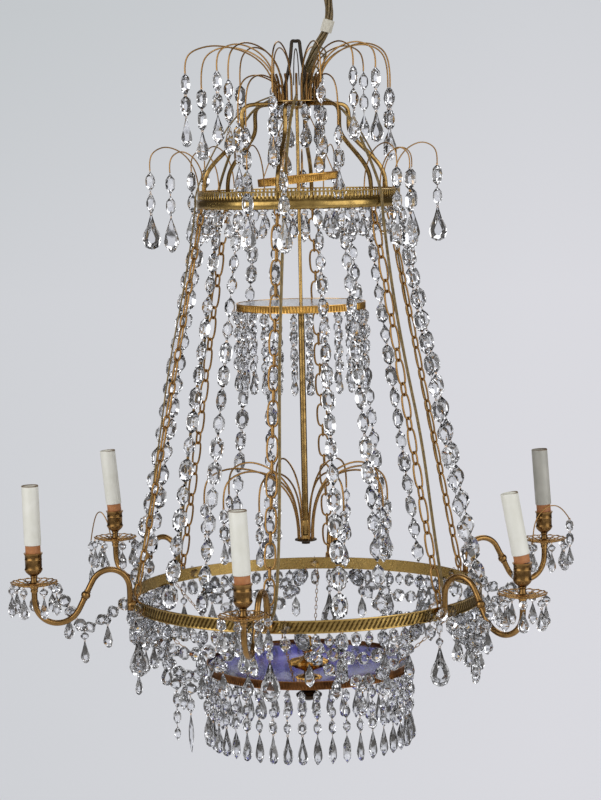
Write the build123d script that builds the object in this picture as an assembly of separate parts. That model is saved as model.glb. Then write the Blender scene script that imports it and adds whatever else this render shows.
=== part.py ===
from build123d import *
import os
from math import asin, atan2, cos, degrees, hypot, pi, radians, sin, tan

# Crystal chandelier: a crown with scroll ribs, an upper hoop, a glass disc on a centre rod, six chains,
# a lower hoop with five candle arms and a blue glass dish, all strung with cut crystals.
# Millimetres, +Z up, origin at the inside top of the hanging loop, front towards -Y.
# Azimuths are degrees about the axis, 0 at the front, positive towards the viewer's right.
# Profiles are drawn as (outward, up) and stood up at their azimuth. Round metal and glass are drawn
# with flats, close enough that they hardly show, and the lamp sockets alone are truly round.

# ---- Driving dimensions ----

SEAT = 0.15  # gap between pieces that rest on or hang from each other
RUNNING = 0.3  # gap round a piece that moves

# Six stations round both hoops carry a rib, a chain and an arm. The rear one has only an arm's stump.
FRONT, RIGHT_FRONT, RIGHT_BACK, REAR, LEFT_BACK, LEFT_FRONT = -12, 46, 115, 172, 228, 287
ARM_AZIMUTHS = (FRONT, RIGHT_FRONT, RIGHT_BACK, LEFT_BACK, LEFT_FRONT)
STATIONS = (FRONT, RIGHT_FRONT, RIGHT_BACK, REAR, LEFT_BACK, LEFT_FRONT)
CANDLE_LEANS = (-2.5, -10, -3.6, -5, -1)  # degrees that each old sleeve leans, positive to the right

# Hanging loop, of forged bar
LOOP_BAR = 5
LOOP_TOP_HALF = 6
LOOP_FOOT_HALF = 17
LOOP_FOOT = 15

# Crown: two plates that clamp the ribs, and upright wires that arch out as a spray
PLATE_TOP = -81.5
PLATE_RADIUS = 35
PLATE_THICK = 1.5
CLAMP_RADIUS = 20
CROWN_WIRE = 2.2
CROWN_WIRE_COUNT = 14
CROWN_WIRE_RADIUS = 31
CROWN_WIRE_STRAIGHT = 31.5
CROWN_APEX = -3
CROWN_REACHES = (150, 127, 124, 134, 148, 160, 150, 150, 133, 154, 159, 124, 151, 150)
CROWN_TIPS = (-60, -36, -38, -65, -64, -38, -34, -50, -55, -60, -40, -38, -52, -72)

# Ribs, of square rod, with an ogee curve
RIB_BAR = 6
RIB_INNER = 12
RIB_SHOULDER = 81
RIB_WAIST = -128
RIB_BENDS = (28, 22, 40)

# Upper hoop, pierced above and moulded below
UPPER_RADIUS = 146
UPPER_TOP = -208
UPPER_HEIGHT = 25.5
UPPER_WALL = 1.6
UPPER_BEAD = 2.4
HOOP_FLATS = 54
SLOT_COUNT = 12
SLOT_WIDTH = 9
SLOT_HEIGHT = 8
SLOT_DROP = 2.5

# Small gilt ring, hung a little crooked on three wires
RING_RADIUS = 59
RING_HEIGHT = 11
RING_WALL = 1.5
RING_FLATS = 20
RING_LEVEL = -193.5
RING_TILT = -5
RING_WIRE = 1.8

# Centre rod, glass disc and its rim
ROD_THIN = 5
ROD_THICK = 9
ROD_FOOT = 15
ROD_FOOT_LENGTH = 26
ROD_KNOB = 18
ROD_KNOB_LENGTH = 11
DISC_TOP = -371
DISC_RADIUS = 93.5
DISC_THICK = 4
DISC_RIM_HEIGHT = 10
DISC_RIM_WALL = 1.4
DISC_FLATS = 30

# Lower spray, on a plate at the rod's foot
SPRAY_PLATE_TOP = -716
SPRAY_PLATE_RADIUS = 16
SPRAY_PLATE_THICK = 3.5
SPRAY_NUT = 12
SPRAY_NUT_THICK = 4
SPRAY_WIRE = 1.8
SPRAY_WIRE_RADIUS = 11
SPRAY_APEX = -610
SPRAY_WIRE_STRAIGHT = 45
SPRAY_FALL = 48
SPRAY_AZIMUTHS = (-80, -55, -30, 25, 52, 80, 112, 150, 200, 240)
SPRAY_REACHES = (148, 142, 130, 128, 140, 121, 118, 125, 125, 130)

# Sprays at the stations of the upper hoop
HOOP_SPRAY_OFFSETS = (-7, 6)
HOOP_SPRAY_REACHES = (214, 196)
HOOP_SPRAY_RISES = (62, 55)
HOOP_SPRAY_STRAIGHT = 20

# Lower hoop
LOWER_RADIUS = 255.5
LOWER_TOP = -788
LOWER_HEIGHT = 18
LOWER_WALL = 2

# Chains of long oval links and short square ones, from lug to lug
LINK_WIRE = 2.2
LONG_LINK_WIDTH = 17
LONG_LINK_END = 9
SHORT_LINK_LENGTH = 20
SHORT_LINK_WIDTH = 10
LONG_LINK_COUNT = 11
LINK_PLAY = 0.1
END_PLAY = 0.35
LUG_WIDTH = 10
LUG_HEIGHT = 10
LUG_WINDOW = 5
LUG_BASE = 2  # metal between the hoop and the window, and how far the tab runs into the hoop

# Candle arms
ARM_TUBE = 8.4
ARCH_OUT, ARCH_UP, ARCH_RADIUS = LOWER_RADIUS + 38.5, LOWER_TOP + 18, 29
BEND_OUT, BEND_UP, BEND_RADIUS = ARCH_OUT + 75, ARCH_UP - 9, 34
BEND_CHORDS = 4
ARM_ROOT = LOWER_TOP - 14
ARM_TOP = LOWER_TOP + 32
KNUCKLE = 12
PAD_HEIGHT = 14
PAD_WIDTH = 10

# Candle: pan, cup, lamp holder and card sleeve
PAN_RADIUS = 34
PAN_RIM = 4
PAN_THICK = 1.5
PAN_WINDOWS = 5
CUP_NECK = 11
CUP_NECK_HEIGHT = 12
CUP_BULGE_HEIGHT = 7
CUP_WIDTH = 24.6
CUP_RIM = 27
CUP_HEIGHT = 44.5
CUP_LIP = 5
HOLDER_WIDTH = 21.6
HOLDER_HEIGHT = 62
SOCKET_RADIUS = 7
SOCKET_DEPTH = 24
SLEEVE_WIDTH = 24
SLEEVE_LENGTH = 85
RING_SHOWING = 11
CUP_FLATS = 10
CARD_FLATS = 14

# Wire hooks on two of the pans: azimuth, sideways offset, and the foot, apex and tip as they lie
# out from the candle's axis and up from the arm's top
PAN_HOOKS = (
    (RIGHT_BACK, -14, -28, (1, 54), (37, 33)),
    (LEFT_BACK, 0, 31, (37, 38), (56, -6)),
)
HOOK_RISE = 28

# Dish of blue glass in a copper rim, with a gilt ornament above and a dark knob below
DISH_RADIUS = 150
DISH_TOP = LOWER_TOP - 108
DISH_RIM_HEIGHT = 12
DISH_RIM_WALL = 1.6
DISH_FLOOR_RADIUS = 84
DISH_DEPTH = 38
DISH_GLASS = 3
DISH_LIP_DROP = 4
DISH_FLATS = 30
# Outlines as (radius, height): a flower, a waist and a bead above the glass, and a turned button below
ORNAMENT_STEPS = (
    (0, 0),
    (20, 0),
    (5, 6),
    (5, 24),
    (22, 34),
    (20, 40),
    (6, 46),
    (13.5, 56),
    (13.5, 66),
    (5, 74),
    (0, 74),
)
KNOB_STEPS = ((0, -18), (8, -18), (19, -13), (19, -8), (7, -3), (7, 0), (0, 0))
TURNING_FLAT_COUNT = 10
HANGER_WIRE = 1.8
HANGER_OFFSET = 4

# Supply cord, a taped bundle of flexes, and the flat leads to the arms
CORD_WIDTH = 12
CORD_FLATS = 6
CORD_ROUTE = (
    (12, 13, PLATE_TOP),
    (12, 13, -48),
    (27, 12, -10),
    (46, 11, 19),
    (51, 10, 50),
    (44, 9, 81),
)
TAPE_WALL = 1.2
TAPE_LENGTH = 18
TAPE_PLACE = 0.66  # share of the way along the cord
PLUG_WIDTH = 26
PLUG_LENGTH = 22
LEAD = 3
LEAD_ASIDE = 10.6
LEAD_SIDES = (1, 1, 1, 1, -1)
LEAD_CLEAR = 11  # how far it keeps outside a rib's shoulder
LEAD_FALL = 17  # from the crown plate to the rib's shoulder

# Crystals: (width, length, belly as a share of the length)
OVAL = (16, 31, 0.5)
PEAR = (19, 41, 0.68)
BIG_PEAR = (25, 45, 0.66)
SMALL_PEAR = (14, 31, 0.68)
HOOP_PEAR = (16, 31, 0.68)
SPINDLE = (12, 59, 0.5)
LINK_OVAL = (14, 24, 0.5)
FRINGE_SPINDLE = (11, 54, 0.5)
FRINGE_PEAR = (13, 48, 0.66)
HOOK_OVAL = (10, 14, 0.5)
STATION_DROP = (26, 54, 0.64)
HOOP_PLACES = 7  # hanging places on the upper hoop between two stations
LONG_PLACES = (2, 4)  # those of them with a strand down to the lower hoop
PLACE_MARGIN = 8.5  # degrees kept free beside each station
STRAND_CRYSTALS = 16
STRAND_WIDTH = 16
SWAG_MARGIN = 8
SWAG_CRYSTALS = 6
SWAG_WIDTH = 15
SWAG_DROPS = (1, 3, 5)
SWAG_DROP = 38
PAN_DROP_TURNS = (0, 60, 120, 240, 300)
GARLAND_IN = 29  # its outer end, in from the candle's axis
GARLAND_LOWEST = ARCH_OUT + 36
GARLAND_SAG = 24
GARLAND_ASIDE = -13
GARLAND_CRYSTALS = 3
GARLAND_WIDTH = 13
DISC_STRANDS = 18
DISH_STRANDS = 28

# ---- Helpers ----


def spot(radius, azimuth, height, aside=0):
    """Point at a radius, azimuth and height, moved aside along the hoop."""
    turn = radians(azimuth)
    across = radius * sin(turn) + aside * cos(turn)
    back = aside * sin(turn) - radius * cos(turn)
    return Vector(across, back, height)


def upright(azimuth):
    """Plane through the axis at an azimuth: x runs outward and y runs up."""
    turn = radians(azimuth)
    return Plane(origin=(0, 0, 0), x_dir=(sin(turn), -cos(turn), 0), z_dir=(-cos(turn), -sin(turn), 0))


def rod_along(points, width, sides):
    """Straight rods with a few flats, mitred at the bends."""
    path = Polyline(*points)
    start = Plane(origin=path @ 0, z_dir=path % 0)
    section = start * RegularPolygon(width / 2, sides)
    return sweep(section, path=path, transition=Transition.RIGHT)


def chorded(edges, per_bend):
    """Corner points of a bent path, with each arc drawn as a few chords."""
    points = [edges[0] @ 0]
    for edge in edges:
        steps = per_bend if edge.geom_type == GeomType.CIRCLE else 1
        points += [edge @ (n / steps) for n in range(1, steps + 1)]
    return points


def turned(outline, flats):
    """Turned solid with flats all round, from a closed outline of (radius, height) points."""
    faces = []
    turns = [2 * pi * n / flats for n in range(flats + 1)]
    for (start, low), (end, high) in zip(outline, outline[1:] + outline[:1]):
        for near, far in zip(turns, turns[1:]):
            corners = []
            around = ((start, low, near), (start, low, far), (end, high, far), (end, high, near))
            for radius, height, turn in around:
                corner = Vector(radius * cos(turn), radius * sin(turn), height)
                if corner not in corners:
                    corners.append(corner)
            if len(corners) > 2:
                faces.append(Face(Wire.make_polygon(corners)))
    return Solid(Shell(faces))


def band(radius, wall, height, top):
    """Closed outline of a hoop of flat strip."""
    inner, bottom = radius - wall, top - height
    return [(inner, top), (radius, top), (radius, bottom), (inner, bottom)]


def crystal(cut):
    """Cut crystal with four flats above its belly and four below, hung by its upper point."""
    width, length, belly = cut
    half, level = width / 2, -belly * length
    corners = ((half, 0), (0, half), (-half, 0), (0, -half))
    girdle = [Vector(across, back, level) for across, back in corners]
    top, foot = Vector(0, 0, 0), Vector(0, 0, -length)
    flats = []
    for near, far in zip(girdle, girdle[1:] + girdle[:1]):
        flats.append(Face(Wire.make_polygon([top, near, far])))
        flats.append(Face(Wire.make_polygon([foot, far, near])))
    return Solid(Shell(flats))


def hung(cuts, top):
    """Crystals hung one below the other from a point."""
    placed = []
    height = top.Z
    for cut in cuts:
        height -= SEAT
        placed.append(Pos(top.X, top.Y, height) * crystal(cut))
        height -= cut[1]
    return placed


def strung(width, start, end, count):
    """Equal crystals strung tip to tip along a straight line."""
    run = end - start
    step = run.length / count
    stone = crystal((width, step - 2 * SEAT, 0.5))
    line = run.normalized()
    return [Plane(origin=start + line * (step * n + SEAT), z_dir=-line) * stone for n in range(count)]


def save(name, solids):
    """One STEP file for each node."""
    found = Compound([solid for item in solids for solid in item.solids()])
    export_step(found, f"parts/{name}.step")
    print(name, len(found.solids()), "solids", round(found.volume), "mm3")


os.makedirs("parts", exist_ok=True)

# ---- Crown ----

bar_centre = LOOP_BAR / 2
loop_points = (
    (-LOOP_FOOT_HALF, 0, PLATE_TOP),
    (-LOOP_FOOT_HALF, 0, PLATE_TOP + LOOP_FOOT),
    (-LOOP_TOP_HALF, 0, bar_centre),
    (LOOP_TOP_HALF, 0, bar_centre),
    (LOOP_FOOT_HALF, 0, PLATE_TOP + LOOP_FOOT),
    (LOOP_FOOT_HALF, 0, PLATE_TOP),
)
loop_path = Polyline(*loop_points)
loop_section = Plane(origin=loop_path @ 0, z_dir=(0, 0, 1)) * Rectangle(LOOP_BAR, LOOP_BAR)
save("hanging_loop", [sweep(loop_section, path=loop_path, transition=Transition.RIGHT)])

rib_level = PLATE_TOP - PLATE_THICK - SEAT / 2 - RIB_BAR / 2
clamp_top = rib_level - RIB_BAR / 2 - SEAT / 2
clamp_bottom = clamp_top - PLATE_THICK
crown_plate = Pos(0, 0, PLATE_TOP - PLATE_THICK) * extrude(RegularPolygon(PLATE_RADIUS, 16), PLATE_THICK)
clamp_plate = Pos(0, 0, clamp_bottom) * extrude(RegularPolygon(CLAMP_RADIUS, 8), PLATE_THICK)
save("crown_plates", [crown_plate, clamp_plate])


def spray_wire(foot, rise, apex, reach, tip, width):
    """Wire that stands up, arches out over its apex and ends pointing down."""
    outward = reach - foot[0]
    points = (
        foot,
        (foot[0], rise),
        (foot[0] + 0.35 * outward, apex - 0.22 * (apex - rise)),
        (foot[0] + 0.7 * outward, apex),
        (reach, tip),
    )
    return rod_along(points, width, 3)


crown_azimuths = [360 * (n + 0.5) / CROWN_WIRE_COUNT for n in range(CROWN_WIRE_COUNT)]
crown_wires, crown_strands = [], []
for azimuth, reach, tip in zip(crown_azimuths, CROWN_REACHES, CROWN_TIPS):
    foot = (CROWN_WIRE_RADIUS, PLATE_TOP + SEAT)
    wire = spray_wire(foot, PLATE_TOP + CROWN_WIRE_STRAIGHT, CROWN_APEX, reach, tip, CROWN_WIRE)
    crown_wires.append(upright(azimuth) * wire)
    crown_strands += hung((OVAL, OVAL, PEAR), spot(reach, azimuth, tip))
save("crown_spray_wires", crown_wires)
save("crown_strands", crown_strands)

upper_inner = UPPER_RADIUS - UPPER_WALL
upper_bottom = UPPER_TOP - UPPER_HEIGHT
rib_foot = upper_inner * cos(pi / HOOP_FLATS) - SEAT - RIB_BAR / 2
rib_path = FilletPolyline(
    (RIB_INNER, rib_level),
    (RIB_SHOULDER, rib_level),
    (RIB_SHOULDER, RIB_WAIST),
    (rib_foot, RIB_WAIST - (rib_foot - RIB_SHOULDER)),
    (rib_foot, upper_bottom + 1),
    radius=RIB_BENDS,
)
rib_line = Polyline(*chorded(rib_path.edges(), 2))
rib_section = Plane(origin=rib_line @ 0, z_dir=(1, 0, 0)) * Rectangle(RIB_BAR, RIB_BAR)
rib = sweep(rib_section, path=rib_line, transition=Transition.RIGHT)
save("crown_ribs", [upright(azimuth) * rib for azimuth in STATIONS])

# ---- Upper hoop ----


def lug(radius, wall, edge, direction):
    """Tab on a hoop's edge, pierced by a window that the chain's end link passes through."""
    middle = radius - wall / 2
    tab_level = edge + direction * (LUG_HEIGHT - LUG_BASE) / 2
    tab = Pos(middle, tab_level, 0) * Box(wall - 0.4, LUG_HEIGHT + LUG_BASE, LUG_WIDTH)
    window_level = edge + direction * (LUG_BASE + LUG_WINDOW / 2)
    return tab - Pos(middle, window_level, 0) * Box(3 * wall, LUG_WINDOW, LUG_WINDOW)


upper_outline = [
    (upper_inner, UPPER_TOP),
    (UPPER_RADIUS, UPPER_TOP),
    (UPPER_RADIUS, UPPER_TOP - UPPER_HEIGHT / 2),
    (UPPER_RADIUS + UPPER_BEAD, UPPER_TOP - 0.75 * UPPER_HEIGHT),
    (UPPER_RADIUS, upper_bottom),
    (upper_inner, upper_bottom),
]
upper_hoop = turned(upper_outline, HOOP_FLATS)
slot = Pos(UPPER_RADIUS, UPPER_TOP - SLOT_DROP - SLOT_HEIGHT / 2, 0) * Box(12, SLOT_HEIGHT, SLOT_WIDTH)
slot_azimuths = [360 * (n + 0.5) / SLOT_COUNT for n in range(SLOT_COUNT)]
upper_hoop -= [upright(azimuth) * slot for azimuth in slot_azimuths]
upper_lug = lug(UPPER_RADIUS, UPPER_WALL, upper_bottom, -1)
upper_hoop += [upright(azimuth) * upper_lug for azimuth in STATIONS]
save("upper_hoop", [upper_hoop])

hoop_sprays, hoop_strands = [], []
for station in STATIONS:
    for spray_turn, reach, rise in zip(HOOP_SPRAY_OFFSETS, HOOP_SPRAY_REACHES, HOOP_SPRAY_RISES):
        azimuth = station + spray_turn
        foot = (UPPER_RADIUS - UPPER_WALL / 2, UPPER_TOP + SEAT)
        apex = UPPER_TOP + rise
        tip = apex - 0.5 * rise
        wire = spray_wire(foot, UPPER_TOP + HOOP_SPRAY_STRAIGHT, apex, reach, tip, SPRAY_WIRE)
        hoop_sprays.append(upright(azimuth) * wire)
        hoop_strands += hung((OVAL, OVAL, BIG_PEAR), spot(reach, azimuth, tip))
save("hoop_spray_wires", hoop_sprays)
save("hoop_spray_strands", hoop_strands)

ring_place = Pos(0, 0, RING_LEVEL) * Rot(0, RING_TILT, 0)
small_ring = turned(band(RING_RADIUS, RING_WALL, RING_HEIGHT, RING_HEIGHT / 2), RING_FLATS)
ring_wires = []
for azimuth in (60, 180, 300):
    on_ring = spot(RING_RADIUS - RING_WALL / 2, azimuth, RING_HEIGHT / 2 + 0.6)
    ring_end = (ring_place * Pos(*on_ring)).position
    clamp_end = spot(CLAMP_RADIUS - 5, azimuth, clamp_bottom - 0.7)
    ring_wires.append(rod_along((clamp_end, ring_end), RING_WIRE, 3))
save("small_ring", [ring_place * small_ring, *ring_wires])

# ---- Centre rod, glass disc and lower spray ----

glass_bottom = DISC_TOP - DISC_THICK
rod_bottom = SPRAY_PLATE_TOP + SEAT
rod_outline = [
    (0, clamp_bottom - SEAT),
    (ROD_THIN / 2, clamp_bottom - SEAT),
    (ROD_THIN / 2, glass_bottom - SEAT),
    (ROD_KNOB / 2, glass_bottom - SEAT),
    (ROD_THICK / 2, glass_bottom - ROD_KNOB_LENGTH),
    (ROD_THICK / 2, rod_bottom + ROD_FOOT_LENGTH),
    (ROD_FOOT / 2, rod_bottom + ROD_FOOT_LENGTH),
    (ROD_FOOT / 2, rod_bottom),
    (0, rod_bottom),
]
save("centre_rod", [turned(rod_outline, TURNING_FLAT_COUNT)])

glass_radius = DISC_RADIUS - DISC_RIM_WALL - SEAT
glass_hole = ROD_THIN / 2 + SEAT
glass_outline = band(glass_radius, glass_radius - glass_hole, DISC_THICK, DISC_TOP)
save("disc_glass", [turned(glass_outline, DISC_FLATS)])
disc_rim_bottom = DISC_TOP - DISC_RIM_HEIGHT
save("disc_rim", [turned(band(DISC_RADIUS, DISC_RIM_WALL, DISC_RIM_HEIGHT, DISC_TOP), DISC_FLATS)])

spray_plate_bottom = SPRAY_PLATE_TOP - SPRAY_PLATE_THICK
spray_disc = extrude(RegularPolygon(SPRAY_PLATE_RADIUS, 12), SPRAY_PLATE_THICK)
spray_plate = Pos(0, 0, spray_plate_bottom) * spray_disc
nut_bottom = spray_plate_bottom - SEAT - SPRAY_NUT_THICK
spray_nut = Pos(0, 0, nut_bottom) * extrude(RegularPolygon(SPRAY_NUT / 2, 6), SPRAY_NUT_THICK)
spray_wires, spray_strands = [], []
for azimuth, reach in zip(SPRAY_AZIMUTHS, SPRAY_REACHES):
    foot = (SPRAY_WIRE_RADIUS, SPRAY_PLATE_TOP + SEAT)
    tip = SPRAY_APEX - SPRAY_FALL
    wire = spray_wire(foot, SPRAY_PLATE_TOP + SPRAY_WIRE_STRAIGHT, SPRAY_APEX, reach, tip, SPRAY_WIRE)
    spray_wires.append(upright(azimuth) * wire)
    spray_strands += hung((LINK_OVAL, LINK_OVAL, SMALL_PEAR), spot(reach, azimuth, tip))
save("lower_spray", [spray_plate, spray_nut])
save("lower_spray_wires", spray_wires)
save("lower_spray_strands", spray_strands)

# ---- Lower hoop and chains ----

lower_bottom = LOWER_TOP - LOWER_HEIGHT
lower_lug = lug(LOWER_RADIUS, LOWER_WALL, LOWER_TOP, 1)
lower_hoop = turned(band(LOWER_RADIUS, LOWER_WALL, LOWER_HEIGHT, LOWER_TOP), HOOP_FLATS)
lower_hoop += [upright(azimuth) * lower_lug for azimuth in STATIONS]
save("lower_hoop", [lower_hoop])

# The end links hang in the windows. Long links turn flat side out, short ones stand across them.
window_far_side = LUG_BASE + LUG_WINDOW
end_bar = END_PLAY + LINK_WIRE / 2
chain_top = Vector(UPPER_RADIUS - UPPER_WALL / 2, upper_bottom - window_far_side + end_bar, 0)
chain_foot = Vector(LOWER_RADIUS - LOWER_WALL / 2, LOWER_TOP + window_far_side - end_bar, 0)
chain_run = chain_foot - chain_top
chain_line = chain_run.normalized()
short_step = SHORT_LINK_LENGTH - LINK_WIRE
joint_overlap = LINK_WIRE + LINK_PLAY
long_total = chain_run.length - (LONG_LINK_COUNT + 1) * short_step + 2 * LONG_LINK_COUNT * joint_overlap
long_step = long_total / LONG_LINK_COUNT
long_half, long_end = (long_step + LINK_WIRE) / 2, LONG_LINK_END / 2
long_outline = Polygon(
    (LONG_LINK_WIDTH / 2, 0),
    (long_end, long_half),
    (-long_end, long_half),
    (-LONG_LINK_WIDTH / 2, 0),
    (-long_end, -long_half),
    (long_end, -long_half),
    align=None,
)
short_outline = Rectangle(SHORT_LINK_WIDTH, SHORT_LINK_LENGTH)


def link(outline):
    """Link of square wire, bent to its outline."""
    return extrude(outline - offset(outline, -LINK_WIRE, kind=Kind.INTERSECTION), LINK_WIRE / 2, both=True)


across_line = Vector(0, 0, 1).cross(chain_line)
links = []
travel = 0
for place in range(2 * LONG_LINK_COUNT + 1):
    is_short = place % 2 == 0
    step = short_step if is_short else long_step
    middle = chain_top + chain_line * (travel + step / 2)
    if is_short:
        links.append(Plane(origin=middle, x_dir=across_line, z_dir=(0, 0, 1)) * link(short_outline))
    else:
        links.append(Plane(origin=middle, x_dir=(0, 0, 1), z_dir=across_line) * link(long_outline))
    travel += step - joint_overlap
for number, azimuth in enumerate(STATIONS, 1):
    save(f"chain_{number}", [upright(azimuth) * one for one in links])

# ---- Candle arms ----

reach_out, reach_up = BEND_OUT - ARCH_OUT, BEND_UP - ARCH_UP
tangent_turn = asin((ARCH_RADIUS + BEND_RADIUS) / hypot(reach_out, reach_up))
heading = degrees(atan2(reach_up, reach_out) - tangent_turn)
arch = CenterArc((ARCH_OUT, ARCH_UP), ARCH_RADIUS, 180, heading - 90)
bend = CenterArc((BEND_OUT, BEND_UP), BEND_RADIUS, heading + 270, 90 - heading)
root = Line((ARCH_OUT - ARCH_RADIUS, ARM_ROOT), arch @ 0)
fall = Line(arch @ 1, bend @ 0)
candle_out = BEND_OUT + BEND_RADIUS
rise = Line(bend @ 1, (candle_out, ARM_TOP))
pad_inner = LOWER_RADIUS + SEAT
pad_width = ARCH_OUT - ARCH_RADIUS - pad_inner
pad = Pos(pad_inner + pad_width / 2, ARM_ROOT + PAD_HEIGHT / 2, 0) * Box(pad_width, PAD_HEIGHT, PAD_WIDTH)
knuckle_plane = Plane(origin=fall @ 0.5, z_dir=fall % 0)
knuckle = knuckle_plane * extrude(RegularPolygon(KNUCKLE / 2, 6), KNUCKLE / 2, both=True)
arm = rod_along(chorded([root, arch, fall, bend, rise], BEND_CHORDS), ARM_TUBE, 6) + pad + knuckle
stump = rod_along(chorded([root, arch, fall], BEND_CHORDS), ARM_TUBE, 6) + pad
for number, azimuth in enumerate(ARM_AZIMUTHS, 1):
    save(f"arm_{number}", [upright(azimuth) * arm])
save("rear_bracket", [upright(REAR) * stump])

pan_bottom = ARM_TOP + SEAT
window_inner, window_outer = CUP_NECK / 2 + 3, PAN_RADIUS - PAN_RIM
window = Polygon((window_inner, 0), (window_outer, -13), (window_outer, 13), align=None)
pan_outline = RegularPolygon(PAN_RADIUS, 2 * PAN_WINDOWS)
for n in range(PAN_WINDOWS):
    pan_outline -= Rot(0, 0, 360 * n / PAN_WINDOWS) * window
pan = extrude(pan_outline, PAN_THICK)
cup_bottom = pan_bottom + PAN_THICK + SEAT
cup_top = cup_bottom + CUP_HEIGHT
cup_outline = [
    (0, 0),
    (CUP_NECK / 2, 0),
    (CUP_NECK / 2, CUP_NECK_HEIGHT),
    (CUP_WIDTH / 2, CUP_NECK_HEIGHT + CUP_BULGE_HEIGHT),
    (CUP_WIDTH / 2, CUP_HEIGHT - CUP_LIP),
    (CUP_RIM / 2, CUP_HEIGHT),
    (0, CUP_HEIGHT),
]
cup = turned(cup_outline, CUP_FLATS)
holder_spare = 4  # cut off level with the cup, where the holder leans
holder = extrude(RegularPolygon(HOLDER_WIDTH / 2, CUP_FLATS), HOLDER_HEIGHT + holder_spare)
socket_floor = HOLDER_HEIGHT + holder_spare - SOCKET_DEPTH
holder -= Pos(0, 0, socket_floor) * extrude(Circle(SOCKET_RADIUS), SOCKET_DEPTH)
sleeve_wall = SLEEVE_WIDTH / 2 - (HOLDER_WIDTH / 2 + RUNNING) / cos(pi / CARD_FLATS)
sleeve = turned(band(SLEEVE_WIDTH / 2, sleeve_wall, SLEEVE_LENGTH, SLEEVE_LENGTH), CARD_FLATS)
pans, cups, holders = [], [], []
for number, (azimuth, lean) in enumerate(zip(ARM_AZIMUTHS, CANDLE_LEANS), 1):
    pans.append(Pos(*spot(candle_out, azimuth, pan_bottom)) * pan)
    cups.append(Pos(*spot(candle_out, azimuth, cup_bottom)) * cup)
    seat = Pos(*spot(candle_out, azimuth, cup_top + SEAT)) * Rot(0, lean, 0)
    seat_plane = Plane(origin=spot(candle_out, azimuth, cup_top + SEAT))
    holders.append(split(seat * Pos(0, 0, -holder_spare) * holder, bisect_by=seat_plane, keep=Keep.TOP))
    save(f"sleeve_{number}", [seat * Pos(0, 0, RING_SHOWING) * sleeve])
    socket = (seat * Pos(0, 0, HOLDER_HEIGHT)).position
    print("socket", number, "mouth", socket, "lean", lean)
save("drip_pans", pans)
save("candle_cups", cups)
save("lamp_holders", holders)

# ---- Dish ----

dish_rim_bottom = DISH_TOP - DISH_RIM_HEIGHT
save("dish_rim", [turned(band(DISH_RADIUS, DISH_RIM_WALL, DISH_RIM_HEIGHT, DISH_TOP), DISH_FLATS)])
bowl_edge, bowl_lip = DISH_RADIUS - DISH_RIM_WALL - SEAT, DISH_TOP - DISH_LIP_DROP
bowl_floor = bowl_lip - DISH_DEPTH
bowl_outline = [
    (0, bowl_floor),
    (DISH_FLOOR_RADIUS, bowl_floor),
    (bowl_edge, bowl_lip),
    (bowl_edge - 1.5 * DISH_GLASS, bowl_lip),
    (DISH_FLOOR_RADIUS - DISH_GLASS / 2, bowl_floor + DISH_GLASS),
    (0, bowl_floor + DISH_GLASS),
]
save("dish_glass", [turned(bowl_outline, DISH_FLATS)])
ornament_floor = bowl_floor + DISH_GLASS + SEAT
ornament_outline = [(radius, ornament_floor + height) for radius, height in ORNAMENT_STEPS]
save("dish_ornament", [turned(ornament_outline, TURNING_FLAT_COUNT)])
knob_outline = [(radius, bowl_floor - SEAT + height) for radius, height in KNOB_STEPS]
save("dish_knob", [turned(knob_outline, TURNING_FLAT_COUNT)])
hangers = []
for station in STATIONS:
    azimuth = station + HANGER_OFFSET
    on_hoop = spot(LOWER_RADIUS - LOWER_WALL / 2, azimuth, lower_bottom - 0.9)
    on_rim = spot(DISH_RADIUS - DISH_RIM_WALL / 2, azimuth, DISH_TOP + 0.9)
    hangers.append(rod_along((on_hoop, on_rim), HANGER_WIRE, 3))
save("dish_hangers", hangers)

# ---- Supply cord and lamp leads ----

route = [Vector(*point) for point in CORD_ROUTE]
runs = [after - before for before, after in zip(route, route[1:])]
bends = []
for before, after in zip(runs, runs[1:]):
    bend_turn = radians(before.get_angle(after))
    bends.append(0.45 * min(before.length, after.length) / tan(bend_turn / 2))
cord_path = FilletPolyline(*route, radius=bends)
cord_start = Plane(origin=cord_path @ 0, z_dir=cord_path % 0)
cord_section = cord_start * RegularPolygon(CORD_WIDTH / 2, CORD_FLATS)
cord = sweep(cord_section, path=cord_path)
print("cord length", round(cord_path.length, 1), "radii", [round(bend) for bend in bends])
print("cord volume", round(cord.volume), "section x length", round(cord_section.area * cord_path.length))
save("supply_cord", [cord])
tape_plane = Plane(origin=cord_path @ TAPE_PLACE, z_dir=cord_path % TAPE_PLACE)
tape_inner = (CORD_WIDTH / 2 + SEAT) / cos(pi / CORD_FLATS)
tape_outline = RegularPolygon(tape_inner + TAPE_WALL, CORD_FLATS) - RegularPolygon(tape_inner, CORD_FLATS)
save("tape_wrap", [tape_plane * extrude(tape_outline, TAPE_LENGTH / 2, both=True)])
plug_plane = Plane(origin=route[-1], z_dir=runs[-1])
save("ceiling_connector", [plug_plane * extrude(RegularPolygon(PLUG_WIDTH / 2, 12), PLUG_LENGTH)])

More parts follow.
